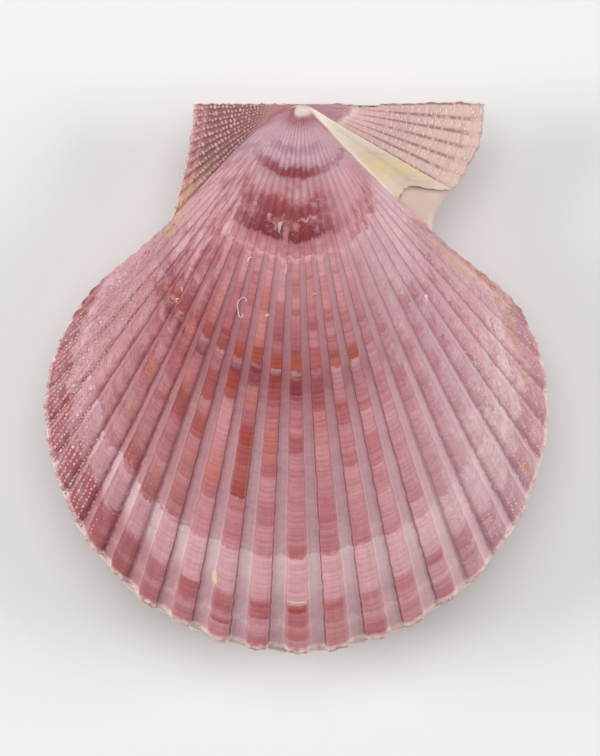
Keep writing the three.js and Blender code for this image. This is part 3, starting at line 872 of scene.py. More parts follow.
# Spots and stains: rib, growth, half width in ribs, half length in growth, colour and strength.
SPOTS = [
    (-2.32, 0.896, 0.09, 0.013, YELLOW, 0.8), (-1.7, 0.266, 0.16, 0.01, CHALK, 0.5),
    (-5.0, 0.241, 0.3, 0.004, PINK, 0.4), (-3.0, 0.25, 0.35, 0.004, PINK, 0.5),
    (1.2, 0.249, 1.2, 0.004, PINK, 0.5), (8.4, 0.547, 0.2, 0.006, CHALK, 0.6),
    (8.0, 0.966, 0.12, 0.012, RUST, 0.6), (-6.7, 0.315, 0.4, 0.018, PALE_PINK, 0.5),
    (-12.3, 0.765, 0.3, 0.014, CHALK, 0.7), (-12.9, 0.5, 1.2, 0.09, SAND, 0.6),
    (0.0, 0.9055, 0.3, 0.0016, YELLOW, 0.7), (-1.75, 0.42, 0.14, 0.003, CHALK, 0.6),
    (13.3, 0.8, 0.4, 0.09, RUST, 0.75), (12.7, 0.78, 0.5, 0.13, PALE_CREAM, 0.4),
    (12.3, 0.66, 0.6, 0.12, SAND, 0.4), (11.5, 0.89, 0.6, 0.03, RUST, 0.35),
    (12.6, 0.9, 0.5, 0.05, SAND, 0.35), (10.4, 0.93, 0.3, 0.02, SAND, 0.3),
    (-9.5, 0.55, 0.5, 0.008, DUSKY, 0.6)]


NOISE_RANGE = (0.3, 0.7)


class Paint(Tree):
    """A material or a shader group under construction."""

    def attribute(self, name):
        return self.node("ShaderNodeAttribute", attribute_name=name).outputs["Fac"]

    def mix(self, factor, first, second, blend="MIX"):
        made = self.node("ShaderNodeMix", data_type="RGBA", blend_type=blend)
        for socket, value in zip([made.inputs[0], made.inputs[6], made.inputs[7]], (factor, first, second)):
            self.give(socket, value)
        return made.outputs[2]

    def blend(self, factor, first, second):
        """A number between two others."""
        made = self.node("ShaderNodeMix", data_type="FLOAT")
        for socket, value in zip(made.inputs[:1] + made.inputs[2:4], (factor, first, second)):
            self.give(socket, value)
        return made.outputs[0]

    def bands(self, value, stops):
        """Colours along a value, from (position, colour) pairs."""
        made = self.node("ShaderNodeValToRGB", {"Fac": value})
        ramp = made.color_ramp
        ramp.interpolation = "LINEAR"
        while len(ramp.elements) < len(stops):
            ramp.elements.new(0.5)
        for element, (position, colour) in zip(ramp.elements, stops):
            element.position = position
            element.color = colour
        return made.outputs[0]

    def curve(self, value, stops):
        """A grey value along a value, from (position, grey) pairs."""
        return self.bands(value, [(position, (grey, grey, grey, 1)) for position, grey in stops])

    def noise(self, vector, scale=1.0, detail=2.0, rough=0.5):
        return self.node("ShaderNodeTexNoise", {
            "Vector": vector, "Scale": scale, "Detail": detail, "Roughness": rough}).outputs["Fac"]

    def chance(self, value):
        """A random number from 0 to 1 for each whole value."""
        return self.node("ShaderNodeTexWhiteNoise", {"W": value}, noise_dimensions="1D").outputs["Value"]

    def spread(self, noise, low, high):
        """The usual range of a noise laid out from low to high."""
        return self.ramp(noise, *NOISE_RANGE, low, high, False)

    def steps(self, along, own):
        """Random levels along a line, each of which deepens towards its end."""
        drift = self.noise(self.join(self.times(along, 0.37), own), 1.0, 1.0)
        bent = self.plus(along, self.times(drift, 2.5))
        number = self.math("FLOOR", bent)
        level = self.chance(self.plus(number, self.times(own, 17.3)))
        return self.times(level, self.ramp(self.math("FRACT", bent), 0.0, 1.0, 0.55, 1.0, False))

    def window(self, value, low, rise, fall, high):
        """1 between rise and fall, 0 outside low and high."""
        return self.times(self.ramp(value, low, rise), self.ramp(value, high, fall))

    def shade(self, colour, factor):
        """A colour made lighter or darker by a factor."""
        values = {"Red": factor, "Green": factor, "Blue": factor}
        grey = self.node("ShaderNodeCombineColor", values).outputs[0]
        return self.mix(1.0, colour, grey, "MULTIPLY")

    def tone(self, colour, *changes):
        """A colour made lighter or darker by parts of itself."""
        return self.shade(colour, self.plus(1.0, *changes))


class Surface(Paint):
    """A material with one shader. Its shine is how mirror-like it is, where that isn't the usual."""

    def __init__(self, name, shine=None):
        self.material = bpy.data.materials.new(name)
        self.material.use_nodes = True
        super().__init__(self.material.node_tree)
        self.shader = self.tree.nodes["Principled BSDF"].inputs
        self.give(self.shader["Specular IOR Level"], shine)

    def finish(self, colour, rough, height=None, strength=0.5, depth=0.04):
        """The material with its colour and roughness, and with relief of a depth in millimetres."""
        self.give(self.shader["Base Color"], colour)
        self.give(self.shader["Roughness"], rough)
        if height is not None:
            values = {"Height": height, "Strength": strength, "Distance": depth * MM}
            bump = self.node("ShaderNodeBump", values)
            self.give(self.shader["Normal"], bump.outputs[0])
        return self.material


class PaintGroup(Paint):
    """A shader group with named inputs and outputs, which puts out colours, masks and values only."""

    def __init__(self, name, inputs, outputs):
        super().__init__(bpy.data.node_groups.new(name, "ShaderNodeTree"))
        for label, kind, default in inputs:
            socket = self.tree.interface.new_socket(label, in_out="INPUT", socket_type=kind)
            socket.default_value = default
        for label, kind in outputs:
            self.tree.interface.new_socket(label, in_out="OUTPUT", socket_type=kind)
        self.given = self.tree.nodes.new("NodeGroupInput").outputs
        self.result = self.tree.nodes.new("NodeGroupOutput").inputs

    def put(self, label, value):
        self.give(self.result[label], value)


def place_group(paint, group, values):
    made = paint.node("ShaderNodeGroup", node_tree=group.tree)
    for key, value in values.items():
        paint.give(made.inputs[key], value)
    return made.outputs


# Shingles on the ribs: width of a row in ribs, and how many fit along the growth of the shell.
CORD_WIDTH = 0.145
SHINGLES = 96.0


def growth_group():
    """Growth of the shell as a value, bent as real rings are, with levels and fine lines along each rib."""
    group = PaintGroup("shell growth", [
        ("Seed", "NodeSocketFloat", 1.0),
    ], [("Ring", "NodeSocketFloat"), ("Number", "NodeSocketFloat"), ("Coarse", "NodeSocketFloat"),
        ("Fine", "NodeSocketFloat"), ("Lines", "NodeSocketFloat"), ("Striae", "NodeSocketFloat"),
        ("Shingle", "NodeSocketFloat"), ("Chance", "NodeSocketFloat"), ("Cloud", "NodeSocketFloat"),
        ("Stain", "NodeSocketFloat")])
    rib, wave, grow_at = group.attribute("rib"), group.attribute("wave"), group.attribute("grow")
    seed = group.given["Seed"]
    number = group.math("FLOOR", group.plus(wave, 0.5))
    steep = group.blend(group.ramp(rib, -1.0, 1.0), group.ramp(grow_at, 0.15, 0.45, 2.4e-5, 4.5e-5),
                        group.ramp(grow_at, 0.15, 0.45, 3.9e-5, 2.6e-5))
    away = group.absolute(rib)
    bend = group.times(away, away, away, steep, group.ramp(grow_at, 0.02, 0.16),
                       group.ramp(grow_at, 0.86, 0.45))
    stray = group.noise(group.join(group.times(rib, 0.4), group.times(grow_at, 2.5), seed), 1.0, 1.0)
    stray = group.times(group.minus(stray, 0.5), group.ramp(grow_at, 0.05, 0.3, 0.004, 0.016))
    phase = group.minus(wave, number)
    lobed = group.times(phase, phase, group.ramp(grow_at, 0.1, 0.28, 0.0, 0.026))
    ring = group.plus(group.minus(grow_at, bend), stray, lobed)
    own = group.plus(group.times(number, 1.7), seed)
    group.put("Ring", ring)
    group.put("Number", number)
    group.put("Coarse", group.steps(group.plus(group.times(ring, 21.0), own), own))
    group.put("Fine", group.steps(group.plus(group.times(ring, 85.0), own), own))
    cord = group.times(phase, 1 / CORD_WIDTH)
    lane = group.math("ROUND", cord)
    sides = group.math("GREATER_THAN", group.absolute(number), 4.5)
    own = group.plus(own, group.times(lane, sides, 0.61))
    drift = group.noise(group.join(group.times(ring, 30.0), group.times(own, 3.1)), 1.0, 3.0)
    bent = group.plus(group.times(ring, SHINGLES), group.times(drift, 3.2),
                      group.times(group.chance(own), 0.9))
    along = group.minus(group.times(group.math("FRACT", bent), 2.0), 1.2)
    sideways = group.times(group.minus(cord, lane), 1.7)
    dome = group.plus(1.0, group.times(along, along, -0.7), group.times(sideways, sideways, -0.4))
    group.put("Shingle", group.math("MAXIMUM", dome, 0.0))
    group.put("Chance", group.chance(group.plus(group.math("FLOOR", bent), group.times(own, 31.7))))
    group.put("Cloud", group.noise(
        group.join(group.times(ring, 17.0), group.times(rib, 0.9), seed), 1.0, 3.0, 0.6))
    group.put("Stain", group.noise(
        group.join(group.times(ring, 26.0), group.times(rib, 1.1), group.plus(seed, 5.0)), 1.0, 3.0, 0.6))
    group.put("Lines", group.noise(
        group.join(group.times(ring, 230.0), group.times(wave, 0.22), seed), 1.0, 3.0))
    group.put("Striae", group.noise(
        group.join(group.times(ring, 4.0), group.times(wave, 11.0), seed), 1.0, 2.0))
    return group


def grain_group():
    """Fine grain and soft mottling over the object, as two values."""
    group = PaintGroup("shell grain", [("Grain Size", "NodeSocketFloat", 2600.0),
                                       ("Mottle Size", "NodeSocketFloat", 260.0)],
                       [("Grain", "NodeSocketFloat"), ("Mottle", "NodeSocketFloat")])
    where = group.node("ShaderNodeTexCoord").outputs["Object"]
    group.put("Grain", group.noise(where, group.given["Grain Size"], 2.0))
    group.put("Mottle", group.noise(where, group.given["Mottle Size"], 3.0, 0.6))
    return group


GROWTH = growth_group()
GRAIN = grain_group()


# Zones of colour along the growth of the shell: where each begins, is full, begins to fade and ends.
RING_ZONES = {
    "streaks": (0.14, 0.2, 0.4, 0.5),
    "light left": (0.29, 0.34, 0.44, 0.49),
    "faded right": (0.29, 0.34, 0.44, 0.52),
    "soft band": (0.815, 0.85, 0.88, 0.92),
    "row of blocks": (0.476, 0.487, 0.506, 0.511),
    "salmon stain": (0.36, 0.44, 0.8, 0.84),
    "pale gaps": (0.828, 0.834, 0.88, 0.91),
    "purple line": (0.156, 0.163, 0.171, 0.178),
    "blush": (0.255, 0.285, 0.315, 0.325),
    "chalky": (0.72, 0.8, 0.88, 0.93),
    "scratch": (0.3125, 0.315, 0.3175, 0.3195),
}
# The same across the shell, from its rear side, 0, to its front side, 1.
SIDE_ZONES = {
    "soft band": (0.05, 0.18, 0.3, 0.4),
    "row of blocks": (0.06, 0.25, 0.62, 0.65),
    "salmon stain": (0.1, 0.2, 0.3, 0.4),
    "left of middle": (0.15, 0.2, 0.31, 0.37),
    "right of middle": (0.63, 0.7, 0.81, 0.87),
    "blush": (0.66, 0.72, 0.86, 0.96),
    "chalky": (0.72, 0.8, 0.9, 0.97),
    "scratch": (0.3, 0.4, 0.55, 0.65),
}


def ring_colour(paint, ring, across, depth):
    """Pale to deep, in the hues of each stage of growth. The right side is more mauve."""
    right = paint.ramp(across, 0.55, 0.76)
    pale = paint.bands(ring, [(0.0, CREAM), (0.038, CREAM), (0.06, PINK), (0.08, LILAC), (0.19, LILAC),
                              (0.23, PINK), (1.0, PINK)])
    pale = paint.mix(paint.times(right, paint.ramp(ring, 0.3, 0.36)), pale, PALE_PINK)
    deep = paint.bands(ring, [(0.0, PINK), (0.056, YOUNG_ROSE), (0.07, YOUNG_ROSE), (0.10, PURPLE),
                              (0.15, PURPLE), (0.162, WINE), (0.18, WINE), (0.20, DUSKY), (0.235, WINE),
                              (0.285, DARK_WINE), (0.30, DUSKY), (0.40, DUSKY), (0.53, DARK_WINE),
                              (0.60, DUSKY), (0.80, DUSKY), (1.0, DUSKY)])
    deep = paint.mix(paint.times(right, 0.85), deep, MAUVE_ROSE)
    return paint.mix(depth, pale, deep)


def block_colours(paint, colour, wave, ring, coarse):
    """Single blocks on single ribs, soft where they begin and sharp where they end."""
    near = {}
    level = paint.math("ADD", paint.times(coarse, 0.5), 0.7, clamp=True)
    for number, start, end, block, strength in BLOCKS:
        if number not in near:
            away = paint.absolute(paint.minus(wave, float(number)))
            near[number] = paint.ramp(away, 0.42, 0.3)
        soft = min(0.4 * (end - start), 0.025)
        along = paint.window(ring, start, start + soft, end - 0.002, end + 0.002)
        colour = paint.mix(paint.times(along, near[number], level, strength), colour, block)
    return colour


def spot_colours(paint, colour, rib, ring, fleck):
    """Flecks of crust and stains that other creatures and the sea left."""
    rough = paint.spread(fleck, -0.9, 0.9)
    for place, growth, width, length, spot, strength in SPOTS:
        sideways = paint.times(paint.minus(rib, place), 1 / width)
        along = paint.times(paint.minus(ring, growth), 1 / length)
        away = paint.plus(paint.times(sideways, sideways), paint.times(along, along), rough)
        colour = paint.mix(paint.ramp(away, 1.1, 0.6, 0.0, strength), colour, spot)
    return colour


class Disc:
    """What the colours of the disc share: where a point lies on it, and how uneven the shell is there."""

    def __init__(self, paint, growth, rib, across, wave, mottle, fleck):
        self.paint = paint
        self.growth, self.rib, self.across = growth, rib, across
        self.mottle, self.fleck, self.coarse = mottle, fleck, growth["Coarse"]
        grown = growth["Ring"]
        self.sides = paint.ramp(paint.absolute(rib), 4.0, 8.5)
        self.cloud = paint.spread(growth["Cloud"], 0.0, 1.0)
        uneven = paint.spread(fleck, -0.0035, 0.0035)
        self.wave = paint.plus(wave, paint.times(uneven, 14.0))
        self.inner = paint.times(paint.minus(self.wave, growth["Number"]), paint.math("SIGN", rib), -1.0)
        blown = paint.times(paint.plus(self.cloud, -0.5), 0.06, self.sides)
        ring = paint.plus(grown, paint.times(uneven, paint.blend(self.sides, 1.0, 4.0)),
                          paint.times(blown, paint.ramp(grown, 0.3, 0.6)),
                          paint.ramp(self.coarse, 0.0, 1.0, -0.005, 0.005, False))
        ring = paint.blend(paint.ramp(grown, 0.05, 0.1), grown, ring)
        beak = paint.times(paint.ramp(across, 0.42, 0.15), paint.ramp(ring, 0.08, 0.05), 0.02)
        self.ring = paint.plus(ring, beak)
        self.late = paint.ramp(self.ring, 0.325, 0.335)

    def along(self, zone):
        return self.paint.window(self.ring, *RING_ZONES[zone])

    def beside(self, zone):
        return self.paint.window(self.across, *SIDE_ZONES[zone])


def young_depth(paint, disc):
    """How deep the colour of the young shell is, inside its closed ring."""
    patch = paint.times(paint.spread(disc.mottle, 0.7, 1.2), paint.spread(disc.fleck, 0.7, 1.25),
                        paint.ramp(disc.coarse, 0.0, 1.0, 0.8, 1.15, False))
    young = paint.math("MINIMUM", paint.times(paint.curve(disc.ring, YOUNG_RINGS), patch, 1.3), 1.0)
    strength = paint.curve(disc.across, YOUNG_STRENGTH)
    return paint.times(young, paint.blend(paint.ramp(disc.ring, 0.08, 0.12), 1.0, strength))


def rib_depth(paint, disc, young, margin):
    """How deep the colour of the ribs is, from the beak to the margin."""
    ring, across, cloud, fine = disc.ring, disc.across, disc.cloud, disc.growth["Fine"]
    levels = paint.plus(paint.times(disc.coarse, 0.55), paint.times(fine, 0.24), 0.6)
    side_levels = paint.plus(paint.times(cloud, 0.9), paint.times(fine, 0.25), 0.5)
    grown = paint.times(paint.curve(ring, GROWN_RINGS), paint.blend(disc.sides, levels, side_levels))
    depth = paint.blend(disc.late, young, paint.times(grown, paint.curve(across, GROWN_STRENGTH)))
    streaks = paint.times(paint.plus(cloud, -0.5), paint.ramp(across, 0.37, 0.2), disc.along("streaks"))
    light_left = paint.times(disc.along("light left"), paint.ramp(across, 0.18, 0.1), -0.3)
    soft_band = paint.times(disc.along("soft band"), disc.beside("soft band"), 0.12)
    depth = paint.math("MAXIMUM", paint.plus(depth, paint.times(streaks, 1.3), light_left, soft_band), 0.0)
    faded = paint.times(paint.ramp(across, 0.64, 0.9), disc.along("faded right"), -0.85)
    return paint.times(paint.plus(depth, margin), paint.plus(1.0, faded))


def rib_colours(paint, disc, depth):
    """The ribs: rings, blocks, stains and the shingles of growth, with painted shade between the shingles and
    in broad strips, and painted light on the outer sides of the right-hand ribs.
    """
    growth, ring, across = disc.growth, disc.ring, disc.across
    colour = ring_colour(paint, ring, across, paint.math("MINIMUM", depth, 1.0))
    # Painted light: the outer side of each rib on the right-hand half is lightened towards the pale gap
    # colour, as its lit side.
    outer = paint.times(paint.ramp(disc.inner, 0.06, -0.3), paint.ramp(across, 0.64, 0.74), disc.late,
                        paint.plus(0.4, paint.times(disc.cloud, 0.35)),
                        paint.ramp(ring, 0.93, 0.88, 0.35, 1.0))
    colour = paint.mix(outer, colour, GAP_BRIGHT)
    lilac = paint.times(paint.ramp(growth["Stain"], 0.46, 0.64), disc.sides, paint.ramp(ring, 0.3, 0.4), 0.5)
    colour = paint.mix(lilac, colour, LILAC)
    row = paint.times(disc.along("row of blocks"), disc.beside("row of blocks"),
                      paint.ramp(disc.coarse, 0.1, 0.6, 0.5, 0.95))
    colour = paint.mix(row, colour, paint.mix(paint.ramp(across, 0.3, 0.45), BRICK, ORANGE))
    colour = block_colours(paint, colour, disc.wave, ring, disc.coarse)
    stain = paint.times(paint.ramp(growth["Stain"], 0.52, 0.68), disc.beside("salmon stain"),
                        disc.along("salmon stain"), 0.55)
    colour = paint.mix(stain, colour, SALMON)
    # Painted shade between the shingles and painted light on their domes, with a random tone of each
    # shingle's own.
    shingled = paint.times(paint.ramp(ring, 0.2, 0.5), paint.blend(disc.sides, 0.5, 0.9))
    light = paint.plus(paint.ramp(growth["Shingle"], 0.1, 0.8, -0.1, 0.03),
                       paint.times(growth["Chance"], 0.14), -0.07)
    colour = paint.tone(colour, paint.times(shingled, light))
    # Painted shade: the ribs darkened in broad strips left and right of the middle and at the lower left
    # margin.
    left_of_middle_shade = paint.times(disc.beside("left of middle"), paint.ramp(ring, 0.56, 0.64), -0.15)
    right_of_middle_shade = paint.times(disc.beside("right of middle"), disc.late, -0.13)
    left_margin_shade = paint.times(paint.ramp(across, 0.19, 0.12), paint.ramp(ring, 0.88, 0.92), -0.14)
    return paint.tone(colour, left_of_middle_shade, right_of_middle_shade, left_margin_shade)


def gap_colours(paint, disc, young, margin, ribs):
    """The strips between the ribs, paler than these but for the shell's sides, with painted light and shade
    along their two edges.
    """
    ring, across = disc.ring, disc.across
    depth = paint.times(paint.curve(ring, GAP_RINGS), paint.curve(across, GAP_STRENGTH), 1.2)
    depth = paint.plus(depth, paint.times(margin, 0.4))
    pale = paint.bands(across, [(0.0, LEFT_GAP), (0.3, LEFT_GAP), (0.45, GAP_PALE), (0.62, GAP_PALE),
                                (0.75, GAP_BRIGHT), (1.0, GAP_BRIGHT)])
    pale = paint.mix(disc.along("pale gaps"), pale, GAP_PALE)
    colour = paint.mix(paint.math("MINIMUM", depth, 1.0), pale, GAP_DARK)
    colour = paint.mix(disc.late, ring_colour(paint, ring, across, young), colour)
    colour = paint.mix(paint.times(disc.sides, disc.late, 0.3), colour, ribs)
    colour = paint.tone(colour, paint.ramp(ring, 0.3, 0.2, 0.0, -0.05))
    # Painted light and shade: each gap is lighter beside the outer flank of its rib and darker beside the
    # inner flank of the next.
    turn = paint.math("SINE", paint.times(disc.inner, 2 * math.pi))
    return paint.tone(colour, paint.times(turn, disc.late, -0.06))


def disc_colour(paint, disc, crest):
    """Ribs and the strips between them, ringed in lilac, wine and rose, with brick blocks on some ribs."""
    ring, across, stain = disc.ring, disc.across, disc.growth["Stain"]
    young = young_depth(paint, disc)
    margin = paint.times(paint.ramp(ring, 0.895, 0.925), paint.ramp(across, 0.45, 0.2, 0.0, 0.6))
    ribs = rib_colours(paint, disc, rib_depth(paint, disc, young, margin))
    gaps = gap_colours(paint, disc, young, margin, ribs)
    ribs = paint.tone(ribs, paint.ramp(ring, 0.3, 0.2, 0.0, 0.03))
    wide = paint.ramp(paint.absolute(disc.rib), 3.5, 6.0)
    colour = paint.mix(paint.blend(wide, crest, paint.ramp(crest, 0.04, 0.24)), gaps, ribs)
    line = paint.times(disc.along("purple line"), paint.ramp(across, 0.6, 0.68), 0.6)
    colour = paint.mix(line, colour, PURPLE)
    blush = paint.times(disc.along("blush"), disc.beside("blush"), paint.ramp(stain, 0.4, 0.56), 0.7)
    colour = paint.mix(blush, colour, DUSKY)
    edge = paint.times(paint.ramp(ring, 0.83, 0.86), paint.ramp(across, 0.8, 0.88),
                       paint.ramp(disc.fleck, 0.4, 0.6, 0.15, 0.6))
    colour = paint.mix(edge, colour, EDGE_ROSE)
    chalky = paint.times(paint.ramp(stain, 0.44, 0.6), disc.along("chalky"), disc.beside("chalky"), 0.5)
    colour = paint.mix(chalky, colour, PALE_CREAM)
    scratch = paint.times(disc.along("scratch"), paint.ramp(disc.fleck, 0.4, 0.55),
                          disc.beside("scratch"), 0.35)
    return paint.mix(scratch, colour, PALE_PINK)


def ear_colours(paint, wave, grow_at, crest, growth, fleck):
    """The rear ear, brown in its grooves, and the front ear, pale with a magenta corner at the beak."""
    lamella = paint.ramp(growth["Lines"], 0.35, 0.6)
    ridge = paint.ramp(crest, 0.35, 0.75)
    rear_ridge = paint.bands(grow_at, [(0.0, ROSE), (0.25, EAR_ROSE), (0.45, RIDGE_TAN), (0.84, RIDGE_TAN),
                                       (0.9, EAR_ROSE), (0.97, EAR_PINK), (1.0, PALE_PINK)])
    rear_groove = paint.bands(grow_at, [(0.0, ROSE), (0.06, ROSE), (0.2, EAR_ROSE), (0.36, BROWN_MAUVE),
                                        (0.84, BROWN_MAUVE), (0.89, EAR_ROSE), (0.93, DUSKY),
                                        (0.97, EAR_ROSE), (1.0, PALE_PINK)])
    rear = paint.mix(paint.times(ridge, paint.ramp(fleck, 0.3, 0.6, 0.35, 0.85)), rear_groove, rear_ridge)
    sandy = paint.times(paint.ramp(wave, 6.5, 9.5), paint.ramp(grow_at, 0.55, 0.95), 0.8)
    rear = paint.mix(sandy, rear, SAND)
    rear = paint.shade(rear, paint.ramp(lamella, 0.0, 1.0, 0.9, 1.06))
    wedge = paint.ramp(wave, 0.0, 6.0, 0.0, 0.07, False)
    reach = paint.plus(paint.minus(grow_at, wedge), paint.spread(fleck, -0.012, 0.012))
    corner = paint.mix(paint.ramp(growth["Striae"], 0.35, 0.65, 0.0, 0.5), MAGENTA, EAR_PINK)
    front_ridge = paint.bands(reach, [(0.0, EAR_PINK), (0.25, EAR_PINK), (0.265, PALE_CREAM), (0.3, EAR_PINK),
                                      (0.5, EAR_PINK), (0.8, EAR_CREAM), (1.0, EAR_CREAM)])
    # The front ear's grooves: partly their own mauve, partly painted shade in the narrow grooves.
    front_groove_shaded = paint.bands(reach, [(0.0, EAR_PINK), (0.26, EAR_PINK), (0.36, EAR_ROSE),
                                       (0.5, GROOVE_MAUVE), (0.8, GROOVE_MAUVE), (0.88, EAR_ROSE),
                                       (0.93, EAR_CREAM), (1.0, EAR_CREAM)])
    where = paint.join(paint.times(grow_at, 44.0), paint.times(wave, 0.6), 7.0)
    across_ribs = paint.ramp(paint.noise(where, 1.0, 2.0), 0.5, 0.62, 0.0, 0.75)
    ridge = paint.math("MAXIMUM", paint.times(ridge, paint.ramp(fleck, 0.2, 0.5, 0.7, 1.0)), across_ribs)
    front = paint.mix(ridge, front_groove_shaded, front_ridge)
    front = paint.mix(paint.ramp(reach, 0.26, 0.22), front, corner)
    front = paint.shade(front, paint.ramp(reach, 0.3, 0.45, 0.95, 0.88))
    line = paint.times(paint.ramp(lamella, 0.45, 0.0), paint.ramp(reach, 0.3, 0.5), 0.5)
    front = paint.mix(line, front, GROOVE_MAUVE)
    return rear, front


def shell_material(name, seed, stained):
    """Satin shell, with ribs, ears, bare band, rim and inside each in their own colours, and painted shade in
    the creases at the feet of the ribs.
    """
    paint = Surface(name, shine=0.22)
    growth = place_group(paint, GROWTH, {"Seed": seed})
    grain = place_group(paint, GRAIN, {})
    fleck = place_group(paint, GRAIN, {"Mottle Size": 1100.0})["Mottle"]
    names = ("rib", "wave", "grow", "crest", "rear", "front", "bare", "inside", "rim", "fine")
    rib, wave, grow_at, crest, rear, front, bare, inside, rim, fine = (paint.attribute(n) for n in names)
    across = paint.ramp(rib, -END_RIB, END_RIB, smoothly=False)
    disc = Disc(paint, growth, rib, across, wave, grain["Mottle"], fleck)
    colour = disc_colour(paint, disc, crest)
    away = paint.absolute(rib)
    middle = paint.ramp(away, 6.0, 3.5)
    # Painted shade: dark lines in the creases at the feet of the ribs, strongest on each rib's side towards
    # the middle, partly the shell's own dark edge line.
    edges = paint.times(paint.window(crest, 0.0, 0.25, 0.3, 0.75),
                        paint.ramp(disc.inner, -0.1, 0.1, 0.4, 1.0), middle)
    foot = paint.plus(disc.inner, paint.ramp(away, 5.0, 8.0, 0.0, -0.05))
    inner_foot_shade = paint.times(paint.window(foot, 0.27, 0.345, 0.37, 0.43), paint.opposite(middle),
                          paint.ramp(away, 13.0, 10.5), 0.85)
    crease_shade = paint.times(paint.math("MAXIMUM", edges, inner_foot_shade), paint.opposite(fine),
                         paint.ramp(grow_at, 0.18, 0.45), paint.ramp(growth["Lines"], 0.35, 0.6, 0.7, 0.9),
                         paint.ramp(fleck, 0.3, 0.7, 0.7, 1.0))
    shaded = paint.mix(paint.ramp(across, 0.62, 0.72), DARK_WINE, PURPLE)
    colour = paint.mix(crease_shade, colour, shaded)
    if stained:
        colour = spot_colours(paint, colour, rib, growth["Ring"], fleck)
    ribbed = paint.blend(crest, 0.4, 1.0)
    colour = paint.tone(colour, paint.spread(growth["Lines"], -0.035, 0.03),
                        paint.times(ribbed, paint.spread(growth["Striae"], -0.05, 0.05)),
                        paint.spread(fleck, -0.06, 0.06))
    lip = paint.times(paint.ramp(grow_at, 0.986, 0.996), paint.ramp(fleck, 0.3, 0.6, 0.2, 0.9))
    colour = paint.mix(lip, colour, PALE_CREAM)
    rear_colour, front_colour = ear_colours(paint, wave, grow_at, crest, growth, fleck)
    colour = paint.mix(rear, colour, rear_colour)
    colour = paint.mix(front, colour, front_colour)
    band = paint.bands(grow_at, [(0.0, PINK), (0.1, CREAM), (0.3, CREAM), (0.6, BAND_CREAM), (0.75, YELLOW),
                                 (0.88, BAND_CREAM), (1.0, BAND_CREAM)])
    beside = paint.times(paint.ramp(rib, 12.9, 13.5), paint.ramp(grow_at, 0.44, 0.4), paint.opposite(front))
    colour = paint.mix(paint.math("MAXIMUM", bare, beside), colour, band)
    colour = paint.shade(colour, paint.spread(grain["Mottle"], 0.95, 1.05))
    colour = paint.mix(inside, colour, PORCELAIN)
    colour = paint.mix(paint.times(rim, 0.8), colour, CHALK)
    rough = paint.plus(paint.spread(grain["Mottle"], 0.42, 0.56), paint.times(inside, -0.15))
    outside = paint.opposite(inside)
    shingled = paint.times(growth["Shingle"], crest, outside, paint.opposite(fine),
                           paint.ramp(grow_at, 0.1, 0.4))
    height = paint.plus(paint.times(growth["Lines"], outside, 0.8),
                        paint.times(growth["Striae"], outside, 0.6),
                        paint.times(grain["Grain"], 0.3), paint.times(shingled, 0.7))
    return paint.finish(colour, rough, height, strength=0.7, depth=0.12)


def scallop_valve(valve, side, seed, stained):
    """One valve, right or left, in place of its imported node."""
    values = {"Material": shell_material(side + " shell", seed, stained), "Seed": seed}
    piece = grow(valve_base(valve, side + "_base"), RIB_RELIEF_TREE, values, side + "_valve_shell")
    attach(piece, "root")
    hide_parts(side + "_valve")
    return piece


RIB_RELIEF_TREE = rib_relief_tree()
right_valve = scallop_valve(RIGHT, "right", 3.0, True)
left_valve = scallop_valve(LEFT, "left", 8.0, False)


SCALE_PHASES = (-0.4, -0.2, 0.0, 0.2, 0.4)
CREST_REACH = 0.3
CREASE_PHASES = (-0.26, 0.26)
ROW_STEPS = 90
STRAY = 0.0001
# Scales on the ribs, in the creases beside them and on the flanks: size, length over width and spacing.
RIB_SCALES = {"long": 1.15, "spacing": 0.7 * MM}
CREASE_SCALES = {"size": 0.19 * MM, "long": 1.0, "spacing": 0.8 * MM}
FLANK_SCALES = {"long": 1.0, "spacing": 0.72 * MM, "odds": 0.6}
FLANK_SCALE_SIZE = 0.46 * MM
# Bars on the ears' riblets: place across a riblet, width, length over width, spacing and odds.
REAR_BARS = [(0.0, 0.74, 0.52, 0.62, 0.86)]
FRONT_BARS = [(-0.24, 0.6, 0.42, 0.8, 0.5), (0.0, 0.8, 0.34, 1.1, 0.5), (0.24, 0.6, 0.42, 0.8, 0.5)]
# Stations along a bead: place along it, half width and height.
BEAD_STATIONS = [(-0.3, 0.36, 0.16), (0.02, 0.5, 0.3), (0.3, 0.46, 0.42), (0.5, 0.3, 0.36)]
BEAD_ARCH = [(1.0, 0.0), (0.72, 0.75), (0.0, 1.0), (-0.72, 0.75), (-1.0, 0.0), (0.0, -0.9)]


def bead_shape():
    """One hooded scale about a unit across, longer than it is wide, whose free end points along +X."""
    points = [(x, y * half, z * height) for x, half, height in BEAD_STATIONS for y, z in BEAD_ARCH]
    points += [(-0.55, 0.0, 0.0), (0.52, 0.0, 0.1)]
    around = len(BEAD_ARCH)
    first, last = len(points) - 2, len(points) - 1
    faces = []
    for ring in range(len(BEAD_STATIONS) - 1):
        for i in range(around):
            a, b = ring * around + i, ring * around + (i + 1) % around
            faces.append((a, b, b + around, a + around))
    end = (len(BEAD_STATIONS) - 1) * around
    for i in range(around):
        faces.append((first, (i + 1) % around, i))
        faces.append((last, end + i, end + (i + 1) % around))
    return new_object("bead_shape", new_mesh("bead_shape", points, [], faces))


